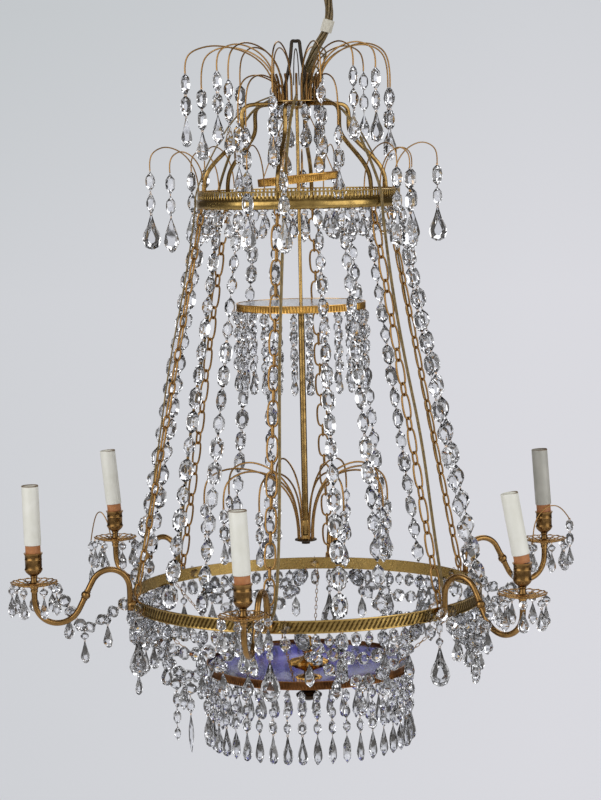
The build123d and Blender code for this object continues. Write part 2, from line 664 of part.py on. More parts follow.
leads = []
crown_gap = 360 / CROWN_WIRE_COUNT
for azimuth, side in zip(ARM_AZIMUTHS, LEAD_SIDES):
    gap_azimuth = crown_gap * round((azimuth + 3 * side) / crown_gap)
    top_aside = side * LEAD_ASIDE
    points = (
        spot(CROWN_WIRE_RADIUS - 5, gap_azimuth, PLATE_TOP + 8),
        spot(PLATE_RADIUS + 4, gap_azimuth, PLATE_TOP + 7),
        spot(RIB_SHOULDER + LEAD_CLEAR, azimuth, PLATE_TOP - LEAD_FALL, top_aside),
        spot(UPPER_RADIUS + 5, azimuth, UPPER_TOP + 4, top_aside),
        spot(UPPER_RADIUS + 5, azimuth, upper_bottom - 2, top_aside),
        spot(LOWER_RADIUS - 1, azimuth, LOWER_TOP + 12, top_aside),
        spot(LOWER_RADIUS + 5, azimuth, LOWER_TOP + 6, side * (ARM_TUBE / 2 + LEAD / 2 + SEAT)),
    )
    leads.append(rod_along(points, LEAD, 4))
save("lamp_leads", leads)

hooks, hook_drops = [], []
for azimuth, aside, foot_out, apex, tip in PAN_HOOKS:
    foot_up = pan_bottom + PAN_THICK + SEAT - ARM_TOP
    hook_bends = ((foot_out, foot_up), (foot_out, foot_up + HOOK_RISE), apex, tip)
    corners = [spot(candle_out + out, azimuth, ARM_TOP + up, aside) for out, up in hook_bends]
    hooks.append(rod_along(corners, SPRAY_WIRE, 3))
    hook_drops += hung((LINK_OVAL, SMALL_PEAR), corners[-1])
save("pan_hooks", hooks)

# ---- Strands, fringes and swags ----

hoop_line, low_line = UPPER_RADIUS - UPPER_WALL / 2, LOWER_RADIUS - LOWER_WALL / 2
fringe, long_strands, swags, swag_drops = [], [], [], []
for station, following in zip(STATIONS, (*STATIONS[1:], FRONT + 360)):
    place_step = (following - station - 2 * PLACE_MARGIN) / (HOOP_PLACES - 1)
    for number in range(HOOP_PLACES):
        azimuth = station + PLACE_MARGIN + number * place_step
        hanging_point = spot(hoop_line, azimuth, upper_bottom)
        if number in LONG_PLACES:
            strand_foot = spot(low_line, azimuth, LOWER_TOP)
            long_strands += strung(STRAND_WIDTH, hanging_point, strand_foot, STRAND_CRYSTALS)
        else:
            fringe += hung((HOOP_PEAR,), hanging_point)
    span = following - station - 2 * SWAG_MARGIN
    swag_points = []
    for n in range(SWAG_CRYSTALS + 1):
        share = n / SWAG_CRYSTALS
        sag = SWAG_DROP * 4 * share * (1 - share)
        swag_points.append(spot(low_line, station + SWAG_MARGIN + share * span, lower_bottom - SEAT - sag))
    for start, end in zip(swag_points, swag_points[1:]):
        swags += strung(SWAG_WIDTH, start, end, 1)
    for n in SWAG_DROPS:
        swag_drops += hung((PEAR,), swag_points[n])
save("hoop_fringe", fringe)
save("long_strands", long_strands)
save("hoop_swags", swags + swag_drops)

disc_fringe, dish_fringe = [], []
for n in range(DISC_STRANDS):
    rim_point = spot(DISC_RADIUS - DISC_RIM_WALL / 2, 360 * (n + 0.5) / DISC_STRANDS, disc_rim_bottom)
    disc_fringe += hung((SPINDLE, SPINDLE), rim_point)
for n in range(DISH_STRANDS):
    rim_point = spot(DISH_RADIUS - DISH_RIM_WALL / 2, 360 * (n + 0.5) / DISH_STRANDS, dish_rim_bottom)
    dish_fringe += hung((FRINGE_SPINDLE, FRINGE_PEAR), rim_point)
save("disc_fringe", disc_fringe)
save("dish_fringe", dish_fringe)

pan_drops, arm_garlands = [], []
for azimuth in ARM_AZIMUTHS:
    pan_middle = spot(candle_out, azimuth, pan_bottom)
    for turn in PAN_DROP_TURNS:
        pan_drops += hung((SMALL_PEAR,), pan_middle + spot(PAN_RADIUS - PAN_RIM / 2, azimuth + turn, 0))
    outer = spot(candle_out - GARLAND_IN, azimuth, pan_bottom, GARLAND_ASIDE)
    middle = spot(GARLAND_LOWEST, azimuth, lower_bottom - GARLAND_SAG, GARLAND_ASIDE)
    inner = spot(low_line, azimuth, lower_bottom, GARLAND_ASIDE)
    for start, end in ((outer, middle), (middle, inner)):
        arm_garlands += strung(GARLAND_WIDTH, start, end, GARLAND_CRYSTALS)
save("pan_drops", pan_drops)
save("arm_garlands", arm_garlands + hook_drops)

# Large drops under the stations swing on their wire hooks.
drop_hooks = []
for number, azimuth in enumerate(STATIONS, 1):
    hoop_point = spot(low_line, azimuth, lower_bottom)
    drop_hooks += hung((LINK_OVAL, HOOK_OVAL), hoop_point)
    hook_end = hoop_point - Vector(0, 0, LINK_OVAL[1] + HOOK_OVAL[1] + SEAT + RUNNING)
    save(f"big_drop_{number}", hung((STATION_DROP,), hook_end))
    print("drop", number, "pivot", hook_end)
save("drop_hooks", drop_hooks)
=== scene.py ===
import random
from math import asin, atan2, copysign, cos, degrees, hypot, pi, radians, sin

import bmesh
import bpy
from mathutils import Matrix, Vector


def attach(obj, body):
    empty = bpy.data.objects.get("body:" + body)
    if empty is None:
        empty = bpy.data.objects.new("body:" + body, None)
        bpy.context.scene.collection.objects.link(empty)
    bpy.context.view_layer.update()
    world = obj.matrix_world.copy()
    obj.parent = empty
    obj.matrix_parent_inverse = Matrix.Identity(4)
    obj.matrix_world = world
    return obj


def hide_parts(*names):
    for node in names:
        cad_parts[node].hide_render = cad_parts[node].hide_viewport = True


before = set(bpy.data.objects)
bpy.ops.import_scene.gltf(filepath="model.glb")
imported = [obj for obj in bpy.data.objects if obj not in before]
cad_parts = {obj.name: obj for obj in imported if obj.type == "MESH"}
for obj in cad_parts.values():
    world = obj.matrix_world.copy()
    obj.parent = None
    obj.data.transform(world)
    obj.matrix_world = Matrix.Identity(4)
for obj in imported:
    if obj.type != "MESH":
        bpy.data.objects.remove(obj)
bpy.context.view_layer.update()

# ---- Hanging loop ----
# A stirrup of dark forged iron whose splayed feet stand on the crown plate. The ceiling hook goes
# through its narrow top, and a thinner loop of the same iron hangs inside it.

# Sizes are written in millimetres, turns in degrees and heights from inside the loop's top
MM = 0.001


def feed(node, inputs):
    """Gives sockets of a shader node their plain values, or links from the sockets of others."""
    for name, value in inputs.items():
        if isinstance(value, bpy.types.NodeSocket):
            node.id_data.links.new(value, node.inputs[name])
        else:
            node.inputs[name].default_value = value


def add(tree, kind, inputs, result, **settings):
    """A new shader node with its sockets fed. Returns the output asked for."""
    made = tree.nodes.new(kind)
    for name, value in settings.items():
        setattr(made, name, value)
    feed(made, inputs)
    return made.outputs[result]


def new_material(name):
    """A material with its tree of nodes and its shader."""
    material = bpy.data.materials.new(name)
    material.use_nodes = True
    return material, material.node_tree, material.node_tree.nodes["Principled BSDF"]


def noise(tree, scale, detail, roughness=0.5):
    """Cloudy pattern fixed to the piece."""
    place = add(tree, "ShaderNodeTexCoord", {}, "Object")
    inputs = {"Vector": place, "Scale": scale, "Detail": detail, "Roughness": roughness}
    return add(tree, "ShaderNodeTexNoise", inputs, "Fac")


def two_tones(tree, source, low, high, start=0.3, end=0.7):
    """Colour that goes from the low to the high tone as the source goes from start to end."""
    ramp = add(tree, "ShaderNodeValToRGB", {"Fac": source}, "Color")
    for element, tone, position in zip(ramp.node.color_ramp.elements, (low, high), (start, end)):
        element.position = position
        element.color = (*tone, 1)
    return ramp


def mixed(tree, share, first, second, **settings):
    """Colour that goes from the first to the second as the share rises."""
    inputs = {"Fac": share, "Color1": first, "Color2": second}
    return add(tree, "ShaderNodeMixRGB", inputs, "Color", **settings)


def relief(tree, height, strength, distance):
    """Small dents or waves that follow a pattern."""
    inputs = {"Height": height, "Strength": strength, "Distance": distance}
    return add(tree, "ShaderNodeBump", inputs, "Normal")


def old_metal(name, tarnished, rubbed, rough, blotch=70):
    """Old metal: tarnish in blotches, rubbed brighter between them and on its edges, finely dented."""
    material, tree, shader = new_material(name)
    patches = noise(tree, blotch, 6.0, 0.65)
    colour = two_tones(tree, patches, tarnished, rubbed)
    pointed = add(tree, "ShaderNodeNewGeometry", {}, "Pointiness")
    worn = two_tones(tree, pointed, (0,) * 3, (0.8,) * 3, 0.5, 0.57)
    bare = (*[min(1, 1.35 * tone) for tone in rubbed], 1)
    feed(shader, {
        "Metallic": 1.0,
        "Base Color": mixed(tree, worn, colour, bare),
        "Roughness": two_tones(tree, patches, (rough[1],) * 3, (rough[0],) * 3),
        "Normal": relief(tree, noise(tree, 900.0, 3.0), 0.12, 0.0003),
    })
    return material


def coat(piece, material):
    """Gives a piece one material and no other."""
    piece.data.materials.clear()
    piece.data.materials.append(material)


def fit(piece, material, nodes=(), body="frame"):
    """Gives a piece its material, and lets it stand for its nodes on their body."""
    coat(piece, material)
    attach(piece, body)
    if nodes:
        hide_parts(*nodes)


def placed(name, data):
    """Puts a mesh, wire, lamp or camera into the scene under its name."""
    made = bpy.data.objects.new(name, data)
    bpy.context.scene.collection.objects.link(made)
    return made


def metres(route):
    """Points in millimetres as points in metres."""
    return [Vector(point) * MM for point in route]


def wire_piece(name, routes, width, closed=False, order=3, sides=2, steps=5):
    """Bent wires, each a smooth spline through the bends of its route. The width is in millimetres."""
    line = bpy.data.curves.new(name, "CURVE")
    line.dimensions = "3D"
    line.bevel_depth = width * MM / 2
    line.bevel_resolution = sides
    line.resolution_u = steps
    line.use_fill_caps = not closed
    for route in routes:
        spline = line.splines.new("NURBS")
        spline.points.add(len(route) - 1)
        for point, corner in zip(spline.points, route):
            point.co = (*corner, 1)
        spline.order_u = order
        spline.use_endpoint_u = not closed
        spline.use_cyclic_u = closed
    return placed(name, line)


iron = old_metal("dark_iron", (0.018, 0.014, 0.011), (0.06, 0.048, 0.036), (0.4, 0.62))
loop_side = [(-17, 0, -81.5), (-17, 0, -73), (-16.6, 0, -62), (-9, 0, -30), (-6.2, 0, -6), (-5.6, 0, 2.6)]
loop_side.append((-3, 0, 3.2))
loop_route = loop_side + [(0, 0, 2.5)] + [(-x, y, z) for x, y, z in reversed(loop_side)]
fit(wire_piece("hanging_loop_bar", [metres(loop_route)], 5, sides=4), iron, ["hanging_loop"])
inner_route = [(-4, -4, -60), (-3.4, -4, -30), (-1.5, -2, -8), (1.5, -2, -8), (3.4, -4, -30), (4, -4, -60)]
fit(wire_piece("inner_loop", [metres(inner_route)], 1.6), iron)

# ---- Crown plates ----
# Two thin turned brass plates, held on the threaded top of the centre rod, that clamp the rib ends
# between them. The loop and the wires of the crown stand on the upper one.


def skin(shape, first, second, every=1):
    """Faces from one ring of points to the next, all of them or every second one."""
    for n in range(0, len(first), every):
        after = (n + 1) % len(first)
        shape.faces.new((first[n], first[after], second[after], second[n]))


def meshed(name, shape, bend=None):
    """Puts a built shape into the scene, smooth where its faces meet at less than the bend."""
    mesh = bpy.data.meshes.new(name)
    shape.to_mesh(mesh)
    shape.free()
    if bend:
        mesh.shade_smooth()
        mesh.set_sharp_from_angle(angle=radians(bend))
    return placed(name, mesh)


def turned_piece(name, outline, steps=64, ripple=None, bend=30):
    """Turned form from (radius, height) in millimetres. ripple(angle, radius, height) shifts a radius."""
    shape = bmesh.new()
    rings = []
    for radius, height in outline:
        ring = []
        for n in range(steps):
            angle = 2 * pi * n / steps
            out = MM * (radius + (ripple(angle, radius, height) if ripple else 0))
            ring.append(shape.verts.new((out * cos(angle), out * sin(angle), height * MM)))
        rings.append(ring)
    for low, high in zip(rings, rings[1:] + rings[:1]):
        skin(shape, low, high)
    bmesh.ops.remove_doubles(shape, verts=shape.verts, dist=1e-6)
    bmesh.ops.recalc_face_normals(shape, faces=shape.faces)
    return meshed(name, shape, bend)


gilt = old_metal("old_gilt_brass", (0.13, 0.072, 0.02), (0.54, 0.35, 0.125), (0.18, 0.36))
plate_outline = [(0.01, -81.5), (29, -81.5), (33.5, -81.2), (35, -81.8), (35, -82.6), (33, -83)]
plate_outline.append((0.01, -83))
fit(turned_piece("crown_plate", plate_outline), gilt, ["crown_plates"])
clamp_outline = [(0.01, -89.2), (18, -89.2), (20, -89.6), (20, -90.4), (12, -91.5), (6, -93.5)]
clamp_outline.append((0.01, -93.5))
fit(turned_piece("clamp_plate", clamp_outline), gilt)

# ---- Crown spray ----
# Fourteen brass wires, and three shorter ones, stand on the plate, arch outward and end in small eyes.
# Posts between them close the cage. Two cut ovals and a pear hang from each eye, and more strands of
# stones hang under the plate.

WIRE_COUNT = 14
CROWN_REACHES = (150, 127, 124, 134, 148, 160, 150, 150, 133, 154, 159, 124, 151, 150)
CROWN_TIPS = (-60, -36, -38, -65, -64, -38, -34, -50, -55, -60, -40, -38, -52, -72)
CROWN_FOOT = (31, -81.3)

# Azimuth, reach and height of the tip of each shorter wire
SHORT_WIRES = ((-46, 115, -112), (-36, 122, -118), (32, 108, -118))
POST_COUNT = 28


def spot(radius, azimuth, height, aside=0.0):
    """Point at a radius, azimuth and height, moved aside along the hoop; from millimetres to metres."""
    turn = radians(azimuth)
    right = radius * sin(turn) + aside * cos(turn)
    back = aside * sin(turn) - radius * cos(turn)
    return Vector((right * MM, back * MM, height * MM))


def spray_route(azimuth, foot, rise, apex, reach, tip):
    """Route of a wire that stands up, arches out over its apex and ends pointing down."""
    outward = reach - foot[0]
    corners = (
        foot,
        (foot[0], rise),
        (foot[0] + 0.22 * outward, apex - 0.25 * (apex - rise)),
        (foot[0] + 0.62 * outward, apex + 4),
        (foot[0] + 0.92 * outward, apex - 0.1 * (apex - tip)),
        (reach + 1, apex - 0.55 * (apex - tip)),
        (reach, tip),
    )
    return [spot(radius, azimuth, height) for radius, height in corners]


aged = old_metal("aged_brass", (0.05, 0.024, 0.008), (0.37, 0.21, 0.072), (0.18, 0.38))
browned = old_metal("browned_wire", (0.03, 0.015, 0.005), (0.2, 0.11, 0.04), (0.25, 0.4))
crown_azimuths = [360 * (n + 0.5) / WIRE_COUNT for n in range(WIRE_COUNT)]
crown_ends = list(zip(crown_azimuths, CROWN_REACHES, CROWN_TIPS))
crown_routes = []
for ends, rise, apex in ((crown_ends, -50, -3), (SHORT_WIRES, -66, -48)):
    crown_routes += [spray_route(azimuth, CROWN_FOOT, rise, apex, *end) for azimuth, *end in ends]
fit(wire_piece("crown_wires", crown_routes, 2.3), aged, ["crown_spray_wires"])
post = ((32, -81.3), (32, -62), (33, -52), (37, -44))
post_routes = [[spot(out, 360 * n / POST_COUNT, up) for out, up in post] for n in range(POST_COUNT)]
fit(wire_piece("cage_posts", post_routes, 3.4), browned)

# Cuts: one side of the outline from the top, as shares of the half width and of the length
OLIVE = ((0.2, 0), (0.8, 0.16), (1.0, 0.5), (0.8, 0.84), (0.2, 1))
PEAR = ((0.1, 0), (0.42, 0.3), (0.86, 0.54), (1.0, 0.74), (0.7, 0.93), (0.2, 1))
ROUND = ((0.36, 0), (0.9, 0.2), (1.0, 0.5), (0.9, 0.8), (0.36, 1))

# The space left above and below a stone for its wire eye, and the eye itself
STONE_GAP = 1.1
EYE_RADIUS, EYE_WIRE, EYE_SIDES = 1.5, 0.9, 6
chance = random.Random(11)


def crystal_glass():
    """Clear lead crystal with a little dust in its gloss."""
    material, tree, shader = new_material("cut_crystal")
    dust = noise(tree, 160.0, 4.0)
    feed(shader, {
        "Transmission Weight": 1.0,
        "IOR": 1.6,
        "Base Color": two_tones(tree, dust, (0.86, 0.88, 0.93), (0.99, 0.99, 1.0)),
        "Roughness": two_tones(tree, dust, (0.0,) * 3, (0.05,) * 3, 0.45, 0.8),
    })
    return material


crystal = crystal_glass()


def cut_stone(shape, cut, width, first, last, across, through):
    """One stone: its outline as the girdle, and on each side facets that rise to a flat table."""
    run = last - first
    middle = first + run * (0.68 if cut is PEAR else 0.5)
    table = chance.uniform(0.32, 0.5)
    depth = (0.42 if cut is ROUND else 0.36) * width
    girdle = list(cut) + [(-share, drop) for share, drop in reversed(cut)]
    edge = [first + run * drop + across * (width / 2 * share) for share, drop in girdle]
    rim = [shape.verts.new(point) for point in edge]
    for face_side in (depth, -depth):
        tops = []
        for n, point in enumerate(edge):
            between = (point + edge[(n + 1) % len(edge)]) / 2
            tops.append(shape.verts.new(middle + (between - middle) * table + through * face_side))
        shape.faces.new(tops)
        for n in range(len(edge)):
            after = (n + 1) % len(edge)
            shape.faces.new((rim[n], rim[after], tops[n]))
            shape.faces.new((tops[n], rim[after], tops[after]))


def wire_eye(shape, top, across, down, through):
    """The small wire ring that a stone hangs by."""
    rings = []
    for step in range(EYE_SIDES):
        spin = 2 * pi * step / EYE_SIDES
        out = across * cos(spin) + down * sin(spin)
        around = [top + (out * EYE_RADIUS + side * EYE_WIRE / 2) * MM for side in (out, through, -out)]
        rings.append([shape.verts.new(point) for point in around])
    for above, below in zip(rings, rings[1:] + rings[:1]):
        skin(shape, above, below)


def cut_stones(name, stones, nodes, body="frame", lie=None):
    """Cut stones (cut, width, top, foot) with a wire eye above each, as one glass and one wire piece."""
    glass, eyes = bmesh.new(), bmesh.new()
    for cut, width, top, foot in stones:
        down = (foot - top).normalized()
        side = down.cross(Vector((0.3, 1, 0.2))).normalized()
        turn = Matrix.Rotation(chance.uniform(0, pi), 4, down)
        across = lie or turn @ side
        through = down.cross(across)
        gap = down * STONE_GAP * MM
        cut_stone(glass, cut, width * MM, top + gap, foot - gap, across, through)
        wire_eye(eyes, top, across, down, through)
    for shape in (glass, eyes):
        bmesh.ops.recalc_face_normals(shape, faces=shape.faces)
    fit(meshed(name, glass), crystal, nodes, body)
    fit(meshed(name + "_eyes", eyes), aged, (), body)


def hung(cuts, top):
    """Stones (cut, width, length) hung one below the other from a point."""
    strand = []
    for cut, width, length in cuts:
        foot = top - Vector((0, 0, length * MM))
        strand.append((cut, width, top, foot))
        top = foot
    return strand


def strung(cut, width, points):
    """Stones strung between the points that follow one another."""
    return [(cut, width, start, end) for start, end in zip(points, points[1:])]


OVAL = (OLIVE, 17, 31)
WIRE_STRAND = (OVAL, OVAL, (PEAR, 21, 44))
crown_stones = []
for azimuth, reach, tip in crown_ends:
    crown_stones += hung(WIRE_STRAND, spot(reach, azimuth, tip))
for azimuth in range(20, 380, 45):
    crown_stones += hung(((OLIVE, 16, 28), (PEAR, 18, 38)), spot(33, azimuth, -84))
for azimuth, reach, tip in ((-32, 34, -84), *SHORT_WIRES, (65, 34, -84)):
    crown_stones += hung(WIRE_STRAND, spot(reach, azimuth, tip))
cut_stones("crown_crystals", crown_stones, ["crown_strands"])

# ---- Ribs ----
# Six scroll ribs of square brass rod, clamped between the crown plates, bent over the shoulder and
# down an ogee to the inside of the upper hoop.

STATIONS = (-12, 46, 115, 172, 228, 287)
RIB_SIDE = 5.6


def mesh_of(piece):
    """Mesh of a wire or other piece as it stands in the scene."""
    return bpy.data.meshes.new_from_object(piece.evaluated_get(bpy.context.evaluated_depsgraph_get()))


def square_bars(name, routes, side):
    """Square bars with softened corners along smooth routes."""
    outline = bpy.data.curves.new(name + "_section", "CURVE")
    outline.dimensions = "2D"
    ring = outline.splines.new("POLY")
    half = side * MM / 2
    soft = half / 2
    corners = []
    for x, y in ((1, 1), (-1, 1), (-1, -1), (1, -1)):
        pair = [(x * half, y * (half - soft)), (x * (half - soft), y * half)]
        corners += pair if x * y > 0 else reversed(pair)
    ring.points.add(len(corners) - 1)
    for point, (x, y) in zip(ring.points, corners):
        point.co = (x, y, 0, 1)
    ring.use_cyclic_u = True
    section = bpy.data.objects.new(name + "_section", outline)
    lines = wire_piece(name, routes, side, order=4, steps=10)
    lines.data.bevel_mode = "OBJECT"
    lines.data.bevel_object = section
    mesh = mesh_of(lines)
    bpy.data.objects.remove(lines)
    bpy.data.objects.remove(section)
    mesh.name = name
    mesh.shade_smooth()
    mesh.set_sharp_from_angle(angle=radians(30))
    return placed(name, mesh)


rib_outline = [(13, -86.1), (40, -86.1), (58, -86.1), (76, -87), (83, -97), (82, -112), (82, -126)]
rib_outline += [(92, -139), (112, -156), (133, -176), (141, -194), (141, -214), (141, -231)]
rib_routes = [[spot(out, azimuth, up) for out, up in rib_outline] for azimuth in STATIONS]
fit(square_bars("scroll_ribs", rib_routes, RIB_SIDE), gilt, ["crown_ribs"])

# ---- Upper hoop ----
# A hoop of brass strip pierced with a row of upright slots above and rolled to a rounded moulding
# below. Tabs under it carry the chains.

UPPER_RADIUS = 146
UPPER_TOP, UPPER_BOTTOM = -208, -233.5
SLOT_COUNT = 150
SLOT_ROW = 3
hoop_metal = old_metal("olive_hoop_brass", (0.1, 0.056, 0.015), (0.55, 0.37, 0.122), (0.18, 0.36), 60)


def pierced_hoop():
    """Strip with slots in its upper half and a rounded moulding below them."""
    columns = 2 * SLOT_COUNT
    rows = [(-0.4, 0), (0.3, -0.7), (0, -1.6), (-0.2, -2.2), (-0.2, -12), (0.3, -12.8), (1.4, -14)]
    rows += [(2.2, -16), (2.4, -19), (2.0, -22), (0.8, -24.4), (-0.6, -25.5)]
    turns = [90 + 360 * n / columns for n in range(columns)]
    shape = bmesh.new()
    grid = []
    for outward, drop in rows:
        level = [spot(UPPER_RADIUS + outward, turn, UPPER_TOP + drop) for turn in turns]
        grid.append([shape.verts.new(point) for point in level])
    for row, (above, below) in enumerate(zip(grid, grid[1:])):
        skin(shape, above, below, 2 if row == SLOT_ROW else 1)
    bmesh.ops.recalc_face_normals(shape, faces=shape.faces)
    made = meshed("pierced_hoop", shape, 40)
    wall = made.modifiers.new("wall", "SOLIDIFY")
    wall.thickness = 1.4 * MM
    wall.offset = -1
    return made


fit(pierced_hoop(), hoop_metal, ["upper_hoop"])


def chain_tabs(name, radius, base, end):
    """Small pierced tabs that stand off a hoop's edge at its stations."""
    level = (base + end) / 2
    bends = ((-4, base), (-4, level), (-3.2, end), (3.2, end), (4, level), (4, base))
    routes = [[spot(radius, azimuth, height, aside) for aside, height in bends] for azimuth in STATIONS]
    fit(wire_piece(name, routes, 2.2), aged)


chain_tabs("upper_tabs", UPPER_RADIUS - 0.8, UPPER_BOTTOM + 1, UPPER_BOTTOM - 8.5)

# ---- Hoop sprays ----
# Pairs of wires soldered inside the upper hoop at each station, bent outward over it, each with two
# ovals and a large pear hung from its eye.

spray_routes, spray_stones = [], []
for station in STATIONS:
    for swing, reach, rise in ((-7, 214, 62), (6, 196, 55)):
        apex, azimuth = UPPER_TOP + rise, station + swing
        tip = apex - rise / 2
        spray_routes.append(spray_route(azimuth, (145, -209), -188, apex, reach, tip))
        spray_stones += hung((OVAL, OVAL, (PEAR, 27, 51)), spot(reach, azimuth, tip))
fit(wire_piece("hoop_wires", spray_routes, 1.9), aged, ["hoop_spray_wires"])
cut_stones("hoop_spray_crystals", spray_stones, ["hoop_spray_strands"])

# ---- Small ring ----
# A little hoop of bright gilt strip, stamped with upright flutes. It hangs a little crooked inside
# the crown on three thin wires that come down from the plates.

RING_RADIUS = 58
RING_TILT = 5
bright_gilt = old_metal("bright_gilt_strip", (0.34, 0.17, 0.035), (0.72, 0.42, 0.11), (0.22, 0.38), 90)


def fluted_strip(radius, top, height, flutes, depth=0.7, wall=1.3):
    """Outline of a strip with upright flutes between two plain edges, and its ripple."""
    levels = [(0.5, 0), (0.5, -0.1), (0, -0.14), (0, -0.5), (0, -0.86), (0.5, -0.9), (0.5, -1)]
    outline = [(radius + out * 0.8, top + share * height) for out, share in levels]
    outline += [(radius - wall, top - height), (radius - wall, top)]

    def flute(angle, level_radius, level):
        on_face = level_radius > radius - 0.5 and 0.12 < (top - level) / height < 0.88
        return depth * (abs(sin(flutes * angle / 2)) - 0.6) if on_face else 0.0

    return outline, flute


ring_outline, ring_flute = fluted_strip(RING_RADIUS + 0.4, 5.5, 11, 110)
small_ring = turned_piece("small_ring_strip", ring_outline, 660, ring_flute)
tilt = Matrix.Rotation(radians(-RING_TILT), 4, "Y")
small_ring.data.transform(Matrix.Translation((0, 0, -193.5 * MM)) @ tilt)
fit(small_ring, bright_gilt, ["small_ring"])
ring_wires = []
for azimuth in (60, 180, 300):
    lean = RING_RADIUS * sin(radians(azimuth)) * sin(radians(RING_TILT))
    top, foot = spot(14, azimuth, -92), spot(RING_RADIUS, azimuth, lean - 188)
    ring_wires.append([top, top.lerp(foot, 0.3) + Vector((0, 0, 4 * MM)), top.lerp(foot, 0.7), foot])
fit(wire_piece("ring_wires", ring_wires, 1.6), aged)

# ---- Centre rod ----
# A brass rod from the crown down through the glass disc to the lower spray, thicker below the dark
# turned knob that carries the disc, with a socket at its foot.

rod_outline = [(0.01, -92), (2.5, -92), (2.5, -375), (4.6, -386), (4.6, -688), (6.4, -689), (7.4, -692)]
rod_outline += [(7.4, -708), (6.2, -711), (7.2, -714), (7.2, -715.9), (0.01, -715.9)]
fit(turned_piece("rod_turning", rod_outline, 32), gilt, ["centre_rod"])
dark_brass = old_metal("dark_turned_brass", (0.012, 0.009, 0.007), (0.05, 0.034, 0.022), (0.3, 0.5))
knob_outline = [(2.6, -375.2), (6, -375.6), (9, -378), (9, -380.6), (6.5, -383), (5, -386), (4.6, -386)]
fit(turned_piece("disc_knob", knob_outline, 40), dark_brass)

# ---- Glass disc ----
# A round of pale grey plate glass in a rim of bright fluted gilt strip. Strands of four small ovals
# and a pear hang all round from the rim.

DISC_STRANDS = 26
BEAD_OVAL = (OLIVE, 13.5, 22)


def tinted_glass(name, thin, thick, rough, ripple=0.0, scale=60.0):
    """Glass with a colour that varies a little, and slow ripples if it was cast."""
    material, tree, shader = new_material(name)
    cloud = noise(tree, scale, 3.0)
    feed(shader, {
        "Transmission Weight": 1.0,
        "IOR": 1.5,
        "Roughness": rough,
        "Base Color": two_tones(tree, cloud, thick, thin),
        "Normal": relief(tree, cloud, ripple, 0.002),
    })
    return material


grey_glass = tinted_glass("pale_grey_glass", (0.86, 0.88, 0.9), (0.72, 0.75, 0.78), 0.12)
disc_outline = [(2.7, -371), (91.5, -371), (91.9, -371.6), (91.9, -374.4), (91.5, -375), (2.7, -375)]
fit(turned_piece("disc_plate", disc_outline, 96), grey_glass, ["disc_glass"])
disc_rim_outline, disc_flute = fluted_strip(93.1, -370.6, 10.4, 120, 0.9, 1.2)
disc_rim = turned_piece("disc_gallery", disc_rim_outline, 720, disc_flute)
fit(disc_rim, bright_gilt, ["disc_rim"])
disc_stones = []
for n in range(DISC_STRANDS):
    top = spot(93, 360 * (n + 0.5) / DISC_STRANDS, -381)
    disc_stones += hung((BEAD_OVAL,) * 4 + ((PEAR, 14, 30),), top)
cut_stones("disc_crystals", disc_stones, ["disc_fringe"])

# ---- Lower spray ----
# A plate and nut at the rod's foot hold ten thin wires that spring up, arch out like a fountain and
# carry short strands of ovals and a pear.

SPRAY_AZIMUTHS = (-80, -55, -30, 25, 52, 80, 112, 150, 200, 240)
SPRAY_REACHES = (148, 142, 130, 128, 140, 121, 118, 125, 125, 130)
SPRAY_TIP = -658
spray_plate_outline = [(0.01, -716), (14, -716), (16, -717), (16, -718.6), (13, -719.5), (6, -719.6)]
spray_plate_outline += [(6, -723.6), (0.01, -723.6)]
fit(turned_piece("spray_plate", spray_plate_outline, 48), dark_brass, ["lower_spray"])
fountain_strand = ((OLIVE, 14, 23), (OLIVE, 15, 25), (PEAR, 16, 34))
fountain, fountain_stones = [], []
for azimuth, reach in zip(SPRAY_AZIMUTHS, SPRAY_REACHES):
    fountain.append(spray_route(azimuth, (11, -716), -671, -610, reach, SPRAY_TIP))
    fountain_stones += hung(fountain_strand, spot(reach, azimuth, SPRAY_TIP))
fit(wire_piece("fountain_wires", fountain, 2.8), aged, ["lower_spray_wires"])
cut_stones("fountain_crystals", fountain_stones, ["lower_spray_strands"])

# ---- Lower hoop ----
# The large hoop of brass strip, stamped with a band of slanting leaves between two thin rims. Tabs on
# its upper edge take the chains.

HOOP_MIDDLE = 254.5
LOWER_TOP, LOWER_BOTTOM = -788, -806
LEAVES = 230
# Darker brass for the hollows between the leaves, as painted shade
recess_shade = old_metal("painted_shade_recess_brass", (0.035, 0.02, 0.006), (0.13, 0.075, 0.02), (0.4, 0.6), 45)


def leaf_relief(angle, radius, height):
    """Slanting leaves with a mid rib, between the rims of the hoop's outside."""
    share = (LOWER_TOP - height) / (LOWER_TOP - LOWER_BOTTOM)
    if radius < HOOP_MIDDLE or not 0.14 < share < 0.86:
        return 0.0
    return 1.1 * (abs(sin(LEAVES * angle / 2 + 5.2 * share)) - 0.55)


hoop_levels = [(255.9, 0), (256.2, -0.8), (255.9, -2.0)]
hoop_levels += [(255.0, -2.6 - 1.6 * n) for n in range(9)]
hoop_levels += [(255.9, -16.0), (256.2, -17.2), (255.9, -18), (253.9, -18), (253.9, 0)]
hoop_outline = [(radius, LOWER_TOP + drop) for radius, drop in hoop_levels]
leaf_hoop = turned_piece("leaf_hoop", hoop_outline, 1380, leaf_relief, 50)
fit(leaf_hoop, hoop_metal, ["lower_hoop"])
# The faces in the hollows between the leaves take the darker brass: painted shade
leaf_hoop.data.materials.append(recess_shade)
for face in leaf_hoop.data.polygons:
    out = hypot(face.center.x, face.center.y) / MM
    face.material_index = int(254.2 < out < 254.95)
chain_tabs("lower_tabs", HOOP_MIDDLE, LOWER_TOP - 1, LOWER_TOP + 8.5)

# ---- Chains ----
# Six chains run from the upper hoop out to the lower one: long oval links of brass wire turned flat
# side out, joined by short links that stand across them.

